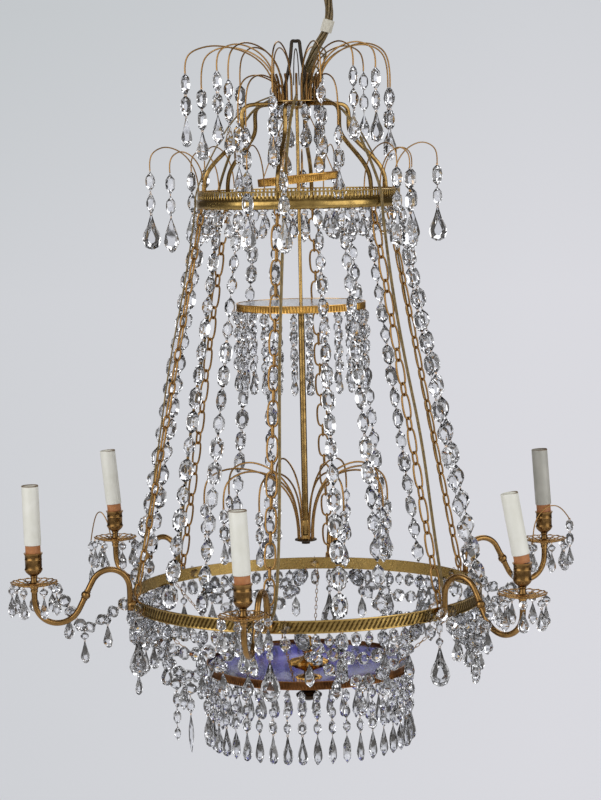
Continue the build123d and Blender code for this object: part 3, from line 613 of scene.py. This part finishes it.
LONG_LINKS = 11
SHORT_LINK = 20
LINK_WIRE = 2.2
CHAIN_TOP_RADIUS = 145.2
chain_top = Vector((CHAIN_TOP_RADIUS, 0, -239.05))
chain_foot = Vector((HOOP_MIDDLE, 0, -782.45))
chain_run = chain_foot - chain_top
chain_line = chain_run.normalized()
flat_line = Vector((0, 1, 0))
across_line = flat_line.cross(chain_line)
short_step = SHORT_LINK - LINK_WIRE
overlap = LINK_WIRE + 0.1
long_step = (chain_run.length - (LONG_LINKS + 1) * short_step + 2 * LONG_LINKS * overlap) / LONG_LINKS


def link_route(middle, along, beside, length, width):
    """Rounded oblong centre line of a link."""
    half, wide = (length - LINK_WIRE) / 2, (width - LINK_WIRE) / 2
    corners = []
    for step in range(12):
        pull, push = cos(2 * pi * step / 12), sin(2 * pi * step / 12)
        forward = along * half * copysign(abs(pull) ** 0.7, pull) * 1.03
        corners.append(middle + forward + beside * wide * copysign(abs(push) ** 0.7, push) * 1.04)
    return corners


link_routes = []
travel = 0
for place in range(2 * LONG_LINKS + 1):
    is_long = place % 2
    step = long_step if is_long else short_step
    middle = chain_top + chain_line * (travel + step / 2)
    beside, width = (flat_line, 17) if is_long else (across_line, 10)
    link_routes.append(link_route(middle, chain_line, beside, step + LINK_WIRE, width))
    travel += step - overlap
for number, azimuth in enumerate(STATIONS, 1):
    stand = Matrix.Rotation(radians(azimuth - 90), 4, "Z") @ Matrix.Scale(MM, 4)
    routes = [[stand @ corner for corner in route] for route in link_routes]
    chain = wire_piece(f"chain_links_{number}", routes, 3.0, closed=True, steps=3)
    fit(chain, aged, [f"chain_{number}"])

# ---- Candle arms ----
# Brass tube bent up over an arch, down through a turned knuckle and round a deep bend to the candle.
# A turned boss fixes each to the hoop. At the back only the stump of a sixth is left.

ARM_AZIMUTHS = (-12, 46, 115, 228, 287)
ARCH, ARCH_RADIUS = (294, -770), 29
BEND, BEND_RADIUS = (369, -779), 34
CANDLE_OUT = BEND[0] + BEND_RADIUS
KNUCKLE = [(4.1, 7), (5, 6.4), (5, 5.4), (4.4, 4.6), (6.2, 2.6), (6.8, 0), (6.2, -2.6), (4.4, -4.6)]
KNUCKLE += [(5, -5.4), (5, -6.4), (4.1, -7)]
END_COLLAR = [(4.1, 5), (5.6, 4.6), (6, 3), (5, 1.5), (5.4, -2), (4.1, -4)]
ROOT_BOSS = [(0.01, 6), (5, 6), (7, 4), (7, -4), (5, -6), (0.01, -6)]


def arc(centre, radius, start, turn, steps=9):
    """Points round an arc in the arm's upright plane."""
    angles = [radians(start + turn * n / steps) for n in range(steps + 1)]
    return [(centre[0] + radius * cos(a), centre[1] + radius * sin(a)) for a in angles]


arm_run = (BEND[0] - ARCH[0], BEND[1] - ARCH[1])
heading = degrees(atan2(arm_run[1], arm_run[0]) - asin((ARCH_RADIUS + BEND_RADIUS) / hypot(*arm_run)))
arch_points = arc(ARCH, ARCH_RADIUS, 180, heading - 90)
bend_points = arc(BEND, BEND_RADIUS, heading + 270, 90 - heading)
knuckle_spot = [(start + end) / 2 for start, end in zip(arch_points[-1], bend_points[0])]
stump_points = [(265, -802), (265, -786)] + arch_points
arm_points = stump_points + bend_points + [(CANDLE_OUT, -768), (CANDLE_OUT, -756)]


def collar(azimuth, out, up, lean, outline):
    """Turned collar set on the tube, leaning with it."""
    made = turned_piece("collar", outline, 32)
    tilt = Matrix.Rotation(radians(azimuth), 4, "Z") @ Matrix.Rotation(radians(lean), 4, "X")
    made.data.transform(Matrix.Translation(spot(out, azimuth, up)) @ tilt)
    return made


def joined(name, parts):
    """Several meshes of one piece as one."""
    shape = bmesh.new()
    for part in parts:
        part_mesh = mesh_of(part)
        shape.from_mesh(part_mesh)
        bpy.data.meshes.remove(part_mesh)
        bpy.data.objects.remove(part)
    return meshed(name, shape, 35)


for azimuth in STATIONS:
    has_candle = azimuth in ARM_AZIMUTHS
    line = arm_points if has_candle else stump_points + [knuckle_spot]
    tube = wire_piece("tube", [[spot(out, azimuth, up) for out, up in line]], 8.4, sides=4)
    parts = [tube, collar(azimuth, *knuckle_spot, -(heading + 90), KNUCKLE)]
    parts.append(collar(azimuth, 262, -795, 90, ROOT_BOSS))
    arm_name = "rear_bracket"
    if has_candle:
        parts.append(collar(azimuth, CANDLE_OUT, -763, 0, END_COLLAR))
        arm_name = f"arm_{ARM_AZIMUTHS.index(azimuth) + 1}"
    fit(joined(arm_name + "_tube", parts), aged, [arm_name])

# ---- Drip pans ----
# Each pan is a rosette of thin brass wire: a rim, two inner rings and looped petals between them that
# dip and rise again to the rim.

PAN_LEVEL = -755
RING_BENDS = 24
PETAL_COUNT = 16
half_petal = ((9, -4, 0.4), (20, -9, -0.4), (31.5, -9.5, 3))
petal = [*half_petal, (34, 0, 4.2)] + [(out, -swing, up) for out, swing, up in reversed(half_petal)]
pan_wires = []
for azimuth in ARM_AZIMUTHS:
    middle = spot(CANDLE_OUT, azimuth, PAN_LEVEL)
    for radius, height in ((33, 3.2), (25, 0.6), (9, 0.4)):
        pan_wires.append([middle + spot(radius, 360 * n / RING_BENDS, height) for n in range(RING_BENDS)])
    for n in range(PETAL_COUNT):
        turn = 360 * n / PETAL_COUNT
        pan_wires.append([middle + spot(out, turn + swing, up) for out, swing, up in petal])
fit(wire_piece("pan_rosettes", pan_wires, 1.3, closed=True), aged, ["drip_pans"])

# ---- Candle cups ----
# Turned brass cups with raised rings, on slender necks, that stand in the pans and carry the lamp
# holders.

CUP_BOTTOM = -754.2
CUP_HEIGHT = 44.5
cup_outline = [(0.01, 0), (9, 0), (9, 1), (6, 2.4), (4.6, 5), (4.2, 9), (5.4, 10.5), (5, 11.5), (8, 14)]
cup_outline += [(11, 17), (12.6, 20), (12.9, 21.5), (12.2, 22.6), (11.9, 24), (11.9, 34), (12.3, 34.6)]
cup_outline += [(12.3, 35.6), (11.9, 36.2), (12, 41), (13.4, 43.6)]
cup_outline += [(13.4, CUP_HEIGHT), (10, CUP_HEIGHT), (0.01, CUP_HEIGHT)]
cups = []
for azimuth in ARM_AZIMUTHS:
    cup = turned_piece("cup", cup_outline, 40)
    cup.data.transform(Matrix.Translation(spot(CANDLE_OUT, azimuth, CUP_BOTTOM)))
    cups.append(cup)
fit(joined("cup_turnings", cups), aged, ["candle_cups"])

# ---- Lamp holders and sleeves ----
# A holder of orange brown moulding stands in each cup, and over it slides a sleeve of ivory card,
# open at the top and leaning a little with age. The right back sleeve is greyer, as painted shade.

LEANS = (-2.5, -10, -3.6, -5, -1)
# Number of the sleeve that takes the greyer card: painted shade for the sleeve in shadow
SHADED_SLEEVE = 3


def matt_finish(name, low, high, rough, scale=40.0, bump=0.1):
    """Plain surface with soft blotches and a fine grain."""
    material, tree, shader = new_material(name)
    cloud = noise(tree, scale, 5.0)
    tone = two_tones(tree, cloud, low, high)
    feed(shader, {"Roughness": rough, "Base Color": tone, "Normal": relief(tree, cloud, bump, 0.0004)})
    return material


def card_finish(name, low, high):
    """Varnished card, with a dark brown band at its open top."""
    material = matt_finish(name, low, high, 0.35)
    tree = material.node_tree
    shader = tree.nodes["Principled BSDF"]
    card = shader.inputs["Base Color"].links[0].from_socket
    place = add(tree, "ShaderNodeTexCoord", {}, "Generated")
    level = add(tree, "ShaderNodeSeparateXYZ", {"Vector": place}, "Z")
    top = two_tones(tree, level, (0,) * 3, (1,) * 3, 0.972, 0.988)
    feed(shader, {"Base Color": mixed(tree, top, card, (0.16, 0.1, 0.05, 1))})
    return material


ivory = card_finish("ivory_card", (0.74, 0.73, 0.64), (0.83, 0.82, 0.75))
# Greyer copy of the ivory card, as painted shade
shaded_card = card_finish("painted_shade_card", (0.4, 0.39, 0.34), (0.5, 0.485, 0.43))
moulding = matt_finish("orange_moulding", (0.36, 0.13, 0.04), (0.5, 0.21, 0.075), 0.5, 120)
holder_outline = [(0.01, 0), (10.8, 0), (10.8, 61), (10, 62), (7, 62), (7, 38), (0.01, 38)]
sleeve_outline = [(11.5, 11), (12, 11.4), (12, 95.4), (11.7, 96), (11.3, 96), (11.1, 95), (11.1, 11)]
holders = []
for number, (azimuth, lean) in enumerate(zip(ARM_AZIMUTHS, LEANS), 1):
    seat = spot(CANDLE_OUT, azimuth, CUP_BOTTOM + CUP_HEIGHT + 0.15)
    stand = Matrix.Translation(seat) @ Matrix.Rotation(radians(lean), 4, "Y")
    holder = turned_piece("holder", holder_outline, 40)
    holder.data.transform(stand)
    holders.append(holder)
    sleeve = turned_piece(f"card_sleeve_{number}", sleeve_outline, 56)
    sleeve.data.transform(stand)
    card = shaded_card if number == SHADED_SLEEVE else ivory
    fit(sleeve, card, [f"sleeve_{number}"], f"sleeve_{number}")
fit(joined("holder_mouldings", holders), moulding, ["lamp_holders"])

# ---- Pan hooks and pan drops ----
# Small round stones and pears hang round every pan, and two of the pans have a thin wire hook that
# arches out and carries a strand of its own.

PAN_TURNS = (0, 52, 104, 156, 208, 260, 310)
PAN_HOOKS = (
    (115, -14, ((375, -754), (375, -735), (384, -712), (404, -698), (427, -703), (440, -723))),
    (228, 0, ((412, -754), (416, -742), (421, -726), (436, -711), (451, -726), (459, -762))),
)
pan_stones = []
for azimuth in ARM_AZIMUTHS:
    middle = spot(CANDLE_OUT, azimuth, PAN_LEVEL)
    for turn in PAN_TURNS:
        pan_stones += hung(((ROUND, 13, 14), (PEAR, 16, 32)), middle + spot(32, azimuth + turn, 0))
cut_stones("pan_crystals", pan_stones, ["pan_drops"])
hook_routes, hook_stones = [], []
for azimuth, aside, line in PAN_HOOKS:
    hook_routes.append([spot(out, azimuth, up, aside) for out, up in line])
    hook_stones += hung(((OLIVE, 13, 20), (OLIVE, 13, 22), (PEAR, 13, 30)), hook_routes[-1][-1])
fit(wire_piece("hook_wires", hook_routes, 1.8), aged, ["pan_hooks"])

# ---- Dish ----
# A shallow bowl of cobalt glass in a reeded copper-brown rim, hung by six fine chains. A gilt flower
# and knob stand on its middle, and a dark turned button closes the fixing below.

RIM_RADIUS = 149.2
HANGER_LINKS = 17
cobalt_glass = tinted_glass("cobalt_glass", (0.15, 0.15, 0.5), (0.07, 0.065, 0.36), 0.14, 0.25, 22.0)
copper = old_metal("copper_brown_strip", (0.035, 0.014, 0.005), (0.2, 0.085, 0.028), (0.28, 0.45), 50)
bowl_outline = [(0.01, -926), (30, -926), (60, -923), (100, -914), (148, -900.2), (147.6, -899.6)]
bowl_outline += [(143.6, -899.4), (100, -911), (60, -920), (30, -923), (0.01, -923)]
fit(turned_piece("bowl", bowl_outline, 96), cobalt_glass, ["dish_glass"])
dish_rim_outline, reed = fluted_strip(RIM_RADIUS + 0.4, -896, 12, 220, 0.9, 1.7)
fit(turned_piece("reeded_rim", dish_rim_outline, 1320, reed, 60), copper, ["dish_rim"])


def petals(angle, radius, height):
    """Lobes of the flower, deepest where it is widest."""
    return -7 * max(0.0, radius - 8) / 22 * sin(6 * angle) ** 2


flower_outline = [(0.01, 0), (20, 12), (19, 14), (10, 16), (7, 18), (7, 22), (12, 25), (23, 29), (30, 34)]
flower_outline += [(29.4, 37.5), (21, 40), (11, 42), (6.5, 45), (6, 49), (9, 52), (13, 56), (13.8, 61)]
flower_outline += [(12.4, 66), (8, 70), (5, 72), (4, 74), (0.01, 74)]
flower_outline = [(radius, height - 934.85) for radius, height in flower_outline]
flower = turned_piece("flower_turning", flower_outline, 144, petals)
fit(flower, bright_gilt, ["dish_ornament"])
button_outline = [(0.01, -18), (6, -18), (9, -17), (17, -14), (19, -11.5), (19, -9), (15, -6), (8, -3)]
button_outline += [(7, 12), (0.01, 12)]
button_outline = [(radius, height - 938.15) for radius, height in button_outline]
fit(turned_piece("button_turning", button_outline, 48), dark_brass, ["dish_knob"])
hanger_routes = []
for station in STATIONS:
    top, foot = spot(HOOP_MIDDLE, station + 4, -807) / MM, spot(RIM_RADIUS, station + 4, -895) / MM
    pitch = (foot - top) / HANGER_LINKS
    along = pitch.normalized()
    beside = along.cross(Vector((0, 0, 1))).normalized()
    for n in range(HANGER_LINKS):
        sideways = beside if n % 2 else along.cross(beside)
        link = link_route(top + pitch * (n + 0.5), along, sideways, pitch.length + 3.0, 5.6)
        hanger_routes.append(metres(link))
fine_chains = wire_piece("fine_chains", hanger_routes, 1.0, closed=True, sides=1, steps=2)
fit(fine_chains, aged, ["dish_hangers"])

# ---- Lamp leads ----
# Thin gilt-brown twin flexes, one for each lamp, that come out of the crown, follow a rib and a chain
# down to the lower hoop and go into the arm.

LEAD_SIDES = (1, 1, 1, 1, -1)
lead_sheath = matt_finish("gilt_flex", (0.13, 0.09, 0.03), (0.33, 0.225, 0.08), 0.3, 200)
lead_routes = []
for azimuth, side in zip(ARM_AZIMUTHS, LEAD_SIDES):
    gap = 360 / WIRE_COUNT
    near = gap * round((azimuth + 3 * side) / gap)
    aside = side * 10.6
    upper, lower = spot(151, azimuth, -235.5, aside), spot(HOOP_MIDDLE, azimuth, -776, aside)
    route = [spot(26, near, -73.5), spot(39, near, -74.5), spot(92, azimuth, -98.5, aside)]
    route += [spot(151, azimuth, -204, aside), upper]
    for share in (0.2, 0.4, 0.6, 0.8):
        wander = spot(3.6 * sin(9 * share + azimuth), azimuth, 0, 3 * cos(7 * share + azimuth))
        route.append(upper.lerp(lower, share) + wander)
    route += [lower, spot(260.5, azimuth, -782, side * 5.85)]
    for half in (-1, 1):
        shift = spot(0.3 * half, azimuth, 0, 1.1 * half)
        lead_routes.append([point + shift for point in route])
fit(wire_piece("twin_leads", lead_routes, 2.3), lead_sheath, ["lamp_leads"])

# ---- Supply cord ----
# Seven dark flexes run up together from the crown as a loose bundle, bound once with cream cloth tape,
# and end in a moulded connector under the ceiling. Four loops of the flex lie loose at its foot.

CORD_ROUTE = ((12, 13, -81.5), (12, 13, -48), (27, 12, -10), (46, 11, 19), (51, 10, 50), (44, 9, 81))
OUTER_FLEXES = 6
FLEX_RADIUS = 1.8
FLEX_SIDES = 8
LAY_RADIUS = 4.2
TWIST = 26
cord_line = wire_piece("cord_line", [metres(CORD_ROUTE)], 0, steps=12)
line_mesh = mesh_of(cord_line)
cord_points = [vertex.co.copy() for vertex in line_mesh.vertices]
bpy.data.meshes.remove(line_mesh)
bpy.data.objects.remove(cord_line)
lengths = [0.0]
for before, after in zip(cord_points, cord_points[1:]):
    lengths.append(lengths[-1] + (after - before).length)
strands = bmesh.new()
for number in range(OUTER_FLEXES + 1):
    rings = []
    for place, point in enumerate(cord_points):
        last = min(place + 1, len(cord_points) - 1)
        along = (cord_points[last] - cord_points[max(place - 1, 0)]).normalized()
        side = along.cross(Vector((0, 1, 0))).normalized()
        depth = along.cross(side)
        angle = 2 * pi * number / OUTER_FLEXES + lengths[place] * TWIST
        lay = LAY_RADIUS * MM if number < OUTER_FLEXES else 0
        centre = point + (side * cos(angle) + depth * sin(angle)) * lay
        turns = [2 * pi * n / FLEX_SIDES for n in range(FLEX_SIDES)]
        ring = [centre + (side * cos(turn) + depth * sin(turn)) * FLEX_RADIUS * MM for turn in turns]
        rings.append([strands.verts.new(corner) for corner in ring])
    for low, high in zip(rings, rings[1:]):
        skin(strands, low, high)
    strands.faces.new(rings[0])
    strands.faces.new(rings[-1])
bmesh.ops.recalc_face_normals(strands, faces=strands.faces)
bundle = meshed("flex_bundle", strands, 50)
flex = matt_finish("olive_flex", (0.08, 0.055, 0.02), (0.21, 0.14, 0.05), 0.32, 200)
fit(bundle, flex, ["supply_cord"])
loose_loops = (
    ((14, 10, -81), (18, 4, -50), (30, -4, -18), (41, -2, -14), (40, 6, -34), (26, 10, -56), (20, 12, -81)),
    ((12, 15, -81), (13, 12, -52), (20, -8, -30), (33, -10, -36), (34, 0, -56), (22, 10, -81)),
    ((16, 18, -81), (32, 20, -46), (46, 14, -16), (37, 8, -4), (26, 7, -16), (23, 12, -44), (14, 16, -81)),
    ((10, 8, -81), (16, -4, -60), (28, -16, -44), (18, -18, -66), (26, 4, -81)),
)
fit(wire_piece("loose_flexes", [metres(loop) for loop in loose_loops], 2.4), flex)
tape_wrap = bpy.data.objects["tape_wrap"]
coat(tape_wrap, matt_finish("cream_tape", (0.5, 0.47, 0.38), (0.68, 0.65, 0.56), 0.7, 300, 0.4))
connector = bpy.data.objects["ceiling_connector"]
coat(connector, matt_finish("pale_plastic", (0.66, 0.65, 0.6), (0.74, 0.73, 0.69), 0.4))

# ---- Long strands and hoop fringe ----
# Strands of ovals run down from the upper hoop to the lower one, two between each pair of chains, and
# end below it in an oval and a pear. Single pears hang from the upper hoop beside them as a fringe.

STRAND_STONES = 17
STRAND_CLEAR = 8.5
STATION_PAIRS = tuple(zip(STATIONS, (*STATIONS[1:], STATIONS[0] + 360)))
fringe_stones, long_stones = [], []
for station, following in STATION_PAIRS:
    span = following - station - 2 * STRAND_CLEAR
    for place in range(7):
        azimuth = station + STRAND_CLEAR + place * span / 6
        top = spot(CHAIN_TOP_RADIUS, azimuth, UPPER_BOTTOM)
        if place in (2, 4):
            foot = spot(HOOP_MIDDLE, azimuth, LOWER_TOP)
            long_stones += hung(((OLIVE, 20, 28), (PEAR, 21, 42)), spot(257, azimuth, LOWER_BOTTOM))
            shares = [n / STRAND_STONES for n in range(STRAND_STONES + 1)]
            points = [top.lerp(foot, share * (0.88 + 0.12 * share)) for share in shares]
            for n, (start, end) in enumerate(zip(points, points[1:])):
                long_stones.append((OLIVE, 17 + 0.4 * n, start, end))
        else:
            fringe_stones += hung(((ROUND, 12, 11), (PEAR, 17, 30)), top)
cut_stones("fringe_crystals", fringe_stones, ["hoop_fringe"])
cut_stones("strand_crystals", long_stones, ["long_strands"])

# ---- Swags and large drops ----
# Two rows of round stones swing from station to station under the lower hoop, with pears below them
# and ovals close along the hoop. At each station a large drop swings on its hook, between two short
# clusters, and a few odd tails hang lower at one side.

SWAG_CLEAR = 8
DROP_EYE = -844.6
TAILS = (
    (283, 252, -884, ((ROUND, 14, 14), (PEAR, 12, 34))),
    (311, 246, -882, ((ROUND, 19, 20), (OLIVE, 14, 25), (OLIVE, 14, 25), (OLIVE, 12, 22))),
    (317, 243, -886, ((ROUND, 20, 20), (OLIVE, 15, 26), (OLIVE, 9, 56))),
    (324, 240, -884, ((ROUND, 20, 20), (OLIVE, 15, 26), (PEAR, 14, 34))),
)
swag_stones = []
for station, following in STATION_PAIRS:
    start, span = station + SWAG_CLEAR, following - station - 2 * SWAG_CLEAR
    for sag, radius, count in ((38, 255, round(span / 4.9)), (70, 250, round(span / 4))):
        points = []
        for n in range(count + 1):
            share = n / count
            level = LOWER_BOTTOM - 0.2 - 4 * sag * share * (1 - share)
            points.append(spot(radius, start + share * span, level))
        swag_stones += strung(ROUND, 20, points)
    for n in range(1, count, 2):
        cuts = ((ROUND, 15, 16), (PEAR, 17, 35)) if n % 4 == 1 else ((PEAR, 18, 36),)
        swag_stones += hung(cuts, points[n])
    for n in range(count):
        azimuth = start + (n + 0.5) * span / count
        swag_stones += hung(((OLIVE, 16, 22),), spot(HOOP_MIDDLE, azimuth, LOWER_BOTTOM))
for azimuth, radius, level, cuts in TAILS:
    swag_stones += hung(cuts, spot(radius, azimuth, level))
drop_hooks = []
for number, azimuth in enumerate(STATIONS, 1):
    for turn in (-5, 5):
        swag_stones += hung(((ROUND, 18, 19), (OLIVE, 19, 26)), spot(258, azimuth + turn, LOWER_TOP))
    drop_hooks += hung(((OLIVE, 12, 24.2), (ROUND, 11, 14.1)), spot(HOOP_MIDDLE, azimuth, LOWER_BOTTOM))
    drop = hung(((PEAR, 28, 57),), spot(HOOP_MIDDLE, azimuth, DROP_EYE))
    body = f"big_drop_{number}"
    cut_stones(f"station_drop_{number}", drop, [body], body, Vector((1, 0, 0)))
cut_stones("swag_crystals", swag_stones, ["hoop_swags"])
cut_stones("drop_hook_stones", drop_hooks, ["drop_hooks"])

# ---- Arm garlands ----
# Garlands of round stones swing from the pans down under the arms and up to the hoop, with three
# small pears below each. The strands of the pan hooks are made in the same piece.

GARLAND_BENDS = ((374, -756), (330, -830), (262, -790))
garland_stones = list(hook_stones)
for azimuth in ARM_AZIMUTHS:
    outer, middle, inner = [spot(out, azimuth, up, -13) for out, up in GARLAND_BENDS]
    for start, end in ((outer, middle), (middle, inner)):
        garland_stones += strung(ROUND, 19, [start.lerp(end, n / 4) for n in range(5)])
    for top in (outer.lerp(middle, 0.5), middle, middle.lerp(inner, 0.5)):
        garland_stones += hung(((ROUND, 13, 14), (PEAR, 17, 34)), top)
cut_stones("garland_crystals", garland_stones, ["arm_garlands"])

# ---- Dish fringe ----
# Close strands of three small ovals and a long pear hang all round under the dish's rim, joined by
# the wire eyes of their stones.

DISH_STRANDS = 44
dish_stones = []
for n in range(DISH_STRANDS):
    top = spot(RIM_RADIUS, 360 * (n + 0.5) / DISH_STRANDS, -908)
    dish_stones += hung((BEAD_OVAL,) * 3 + ((PEAR, 15, 43),), top)
cut_stones("dish_crystals", dish_stones, ["dish_fringe"])

# ---- Studio ----
# A pale floor far below, a pale grey surround that glass and metal also see, darker towards the
# camera's side, and three soft lamps. None of it is part of the object.

BACKDROP = (0.63, 0.635, 0.665)
DIM_FRONT = (0.07, 0.065, 0.06)


def reckoned(tree, operation, first, second):
    """A number worked out from two others."""
    return add(tree, "ShaderNodeMath", {0: first, 1: second}, "Value", operation=operation)


floor_material, tree, shader = new_material("studio_floor")
feed(shader, {"Base Color": (0.7, 0.7, 0.72, 1), "Roughness": 0.9})

# The camera, and glass, see almost through the floor; it only throws light back up
clear = add(tree, "ShaderNodeBsdfTransparent", {}, "BSDF")
rays = add(tree, "ShaderNodeLightPath", {}, "Is Camera Ray").node.outputs
either = reckoned(tree, "MAXIMUM", rays["Is Camera Ray"], rays["Is Transmission Ray"])
faded = reckoned(tree, "MULTIPLY", either, 0.995)
surface = add(tree, "ShaderNodeMixShader", {"Fac": faded, 1: shader.outputs["BSDF"], 2: clear}, "Shader")
feed(tree.nodes["Material Output"], {"Surface": surface})
disc = bmesh.new()
bmesh.ops.create_circle(disc, cap_ends=True, segments=64, radius=9.0)
floor = meshed("studio_floor", disc)
floor.location = (0, 0, -2.2)
coat(floor, floor_material)

world = bpy.data.worlds.new("studio")
bpy.context.scene.world = world
world.use_nodes = True
tree = world.node_tree
rays = add(tree, "ShaderNodeLightPath", {}, "Is Camera Ray").node.outputs
direction = add(tree, "ShaderNodeTexCoord", {}, "Generated")
axes = add(tree, "ShaderNodeSeparateXYZ", {"Vector": direction}, "X").node.outputs


def eased(value, start, end, most=1.0):
    """Nothing before the start, and the most from the end on."""
    inputs = {"Value": value, "From Min": start, "From Max": end, "To Max": most}
    return add(tree, "ShaderNodeMapRange", inputs, "Result")


surround = two_tones(tree, eased(axes["Y"], 0.05, 0.92), (0.04, 0.038, 0.036), BACKDROP, 0.0, 1.0)
mirrored = two_tones(tree, axes["Y"], DIM_FRONT, BACKDROP, 0.86, 0.94)
lifted = mixed(tree, 1.0, mirrored, eased(axes["Y"], 0.1, -0.7, 0.42), blend_type="ADD")
shiny = mixed(tree, rays["Is Glossy Ray"], surround, lifted)
slope = reckoned(tree, "ADD", eased(axes["X"], -0.13, 0.1), eased(axes["Z"], 0.06, -0.06))
halved = reckoned(tree, "MULTIPLY", slope, 0.5)
behind = two_tones(tree, halved, (0.55, 0.575, 0.595), (0.7, 0.7, 0.74), 0.0, 1.0)
seen = mixed(tree, rays["Is Camera Ray"], shiny, behind)
backdrop = mixed(tree, rays["Is Diffuse Ray"], seen, (0.5, 0.5, 0.51, 1))
feed(tree.nodes["Background"], {"Color": backdrop, "Strength": 1.0})


def soft_lamp(name, place, size, power):
    """Square soft lamp that faces the middle of the object."""
    lamp = bpy.data.lights.new(name, "AREA")
    lamp.size = size
    lamp.energy = power
    made = placed(name, lamp)
    made.location = place
    aim = Vector((0, 0, -0.5)) - Vector(place)
    made.rotation_euler = aim.to_track_quat("-Z", "Y").to_euler()
    made.visible_camera = False


soft_lamp("key_lamp", (-2.5, -2.0, 0.9), 3.2, 58)
soft_lamp("fill_lamp", (2.6, -1.8, 0.1), 3.0, 36)
soft_lamp("back_lamp", (0.6, 2.4, 1.9), 2.0, 22)

# ---- Camera ----
# It stands a little above the upper hoop's height, well back with a long lens, and looks slightly
# down, rolled a touch.

view = bpy.data.cameras.new("photo_view")
view.lens = 108.0
view.sensor_width = 36.0
camera = placed("photo_view", view)
tilt = Matrix.Rotation(radians(90 - 5.947), 4, "X") @ Matrix.Rotation(radians(-1.2), 4, "Z")
camera.matrix_world = Matrix.Translation((-0.0036, -3.465, -0.1521)) @ tilt
bpy.context.scene.camera = camera
bpy.context.scene.view_settings.view_transform = "Standard"
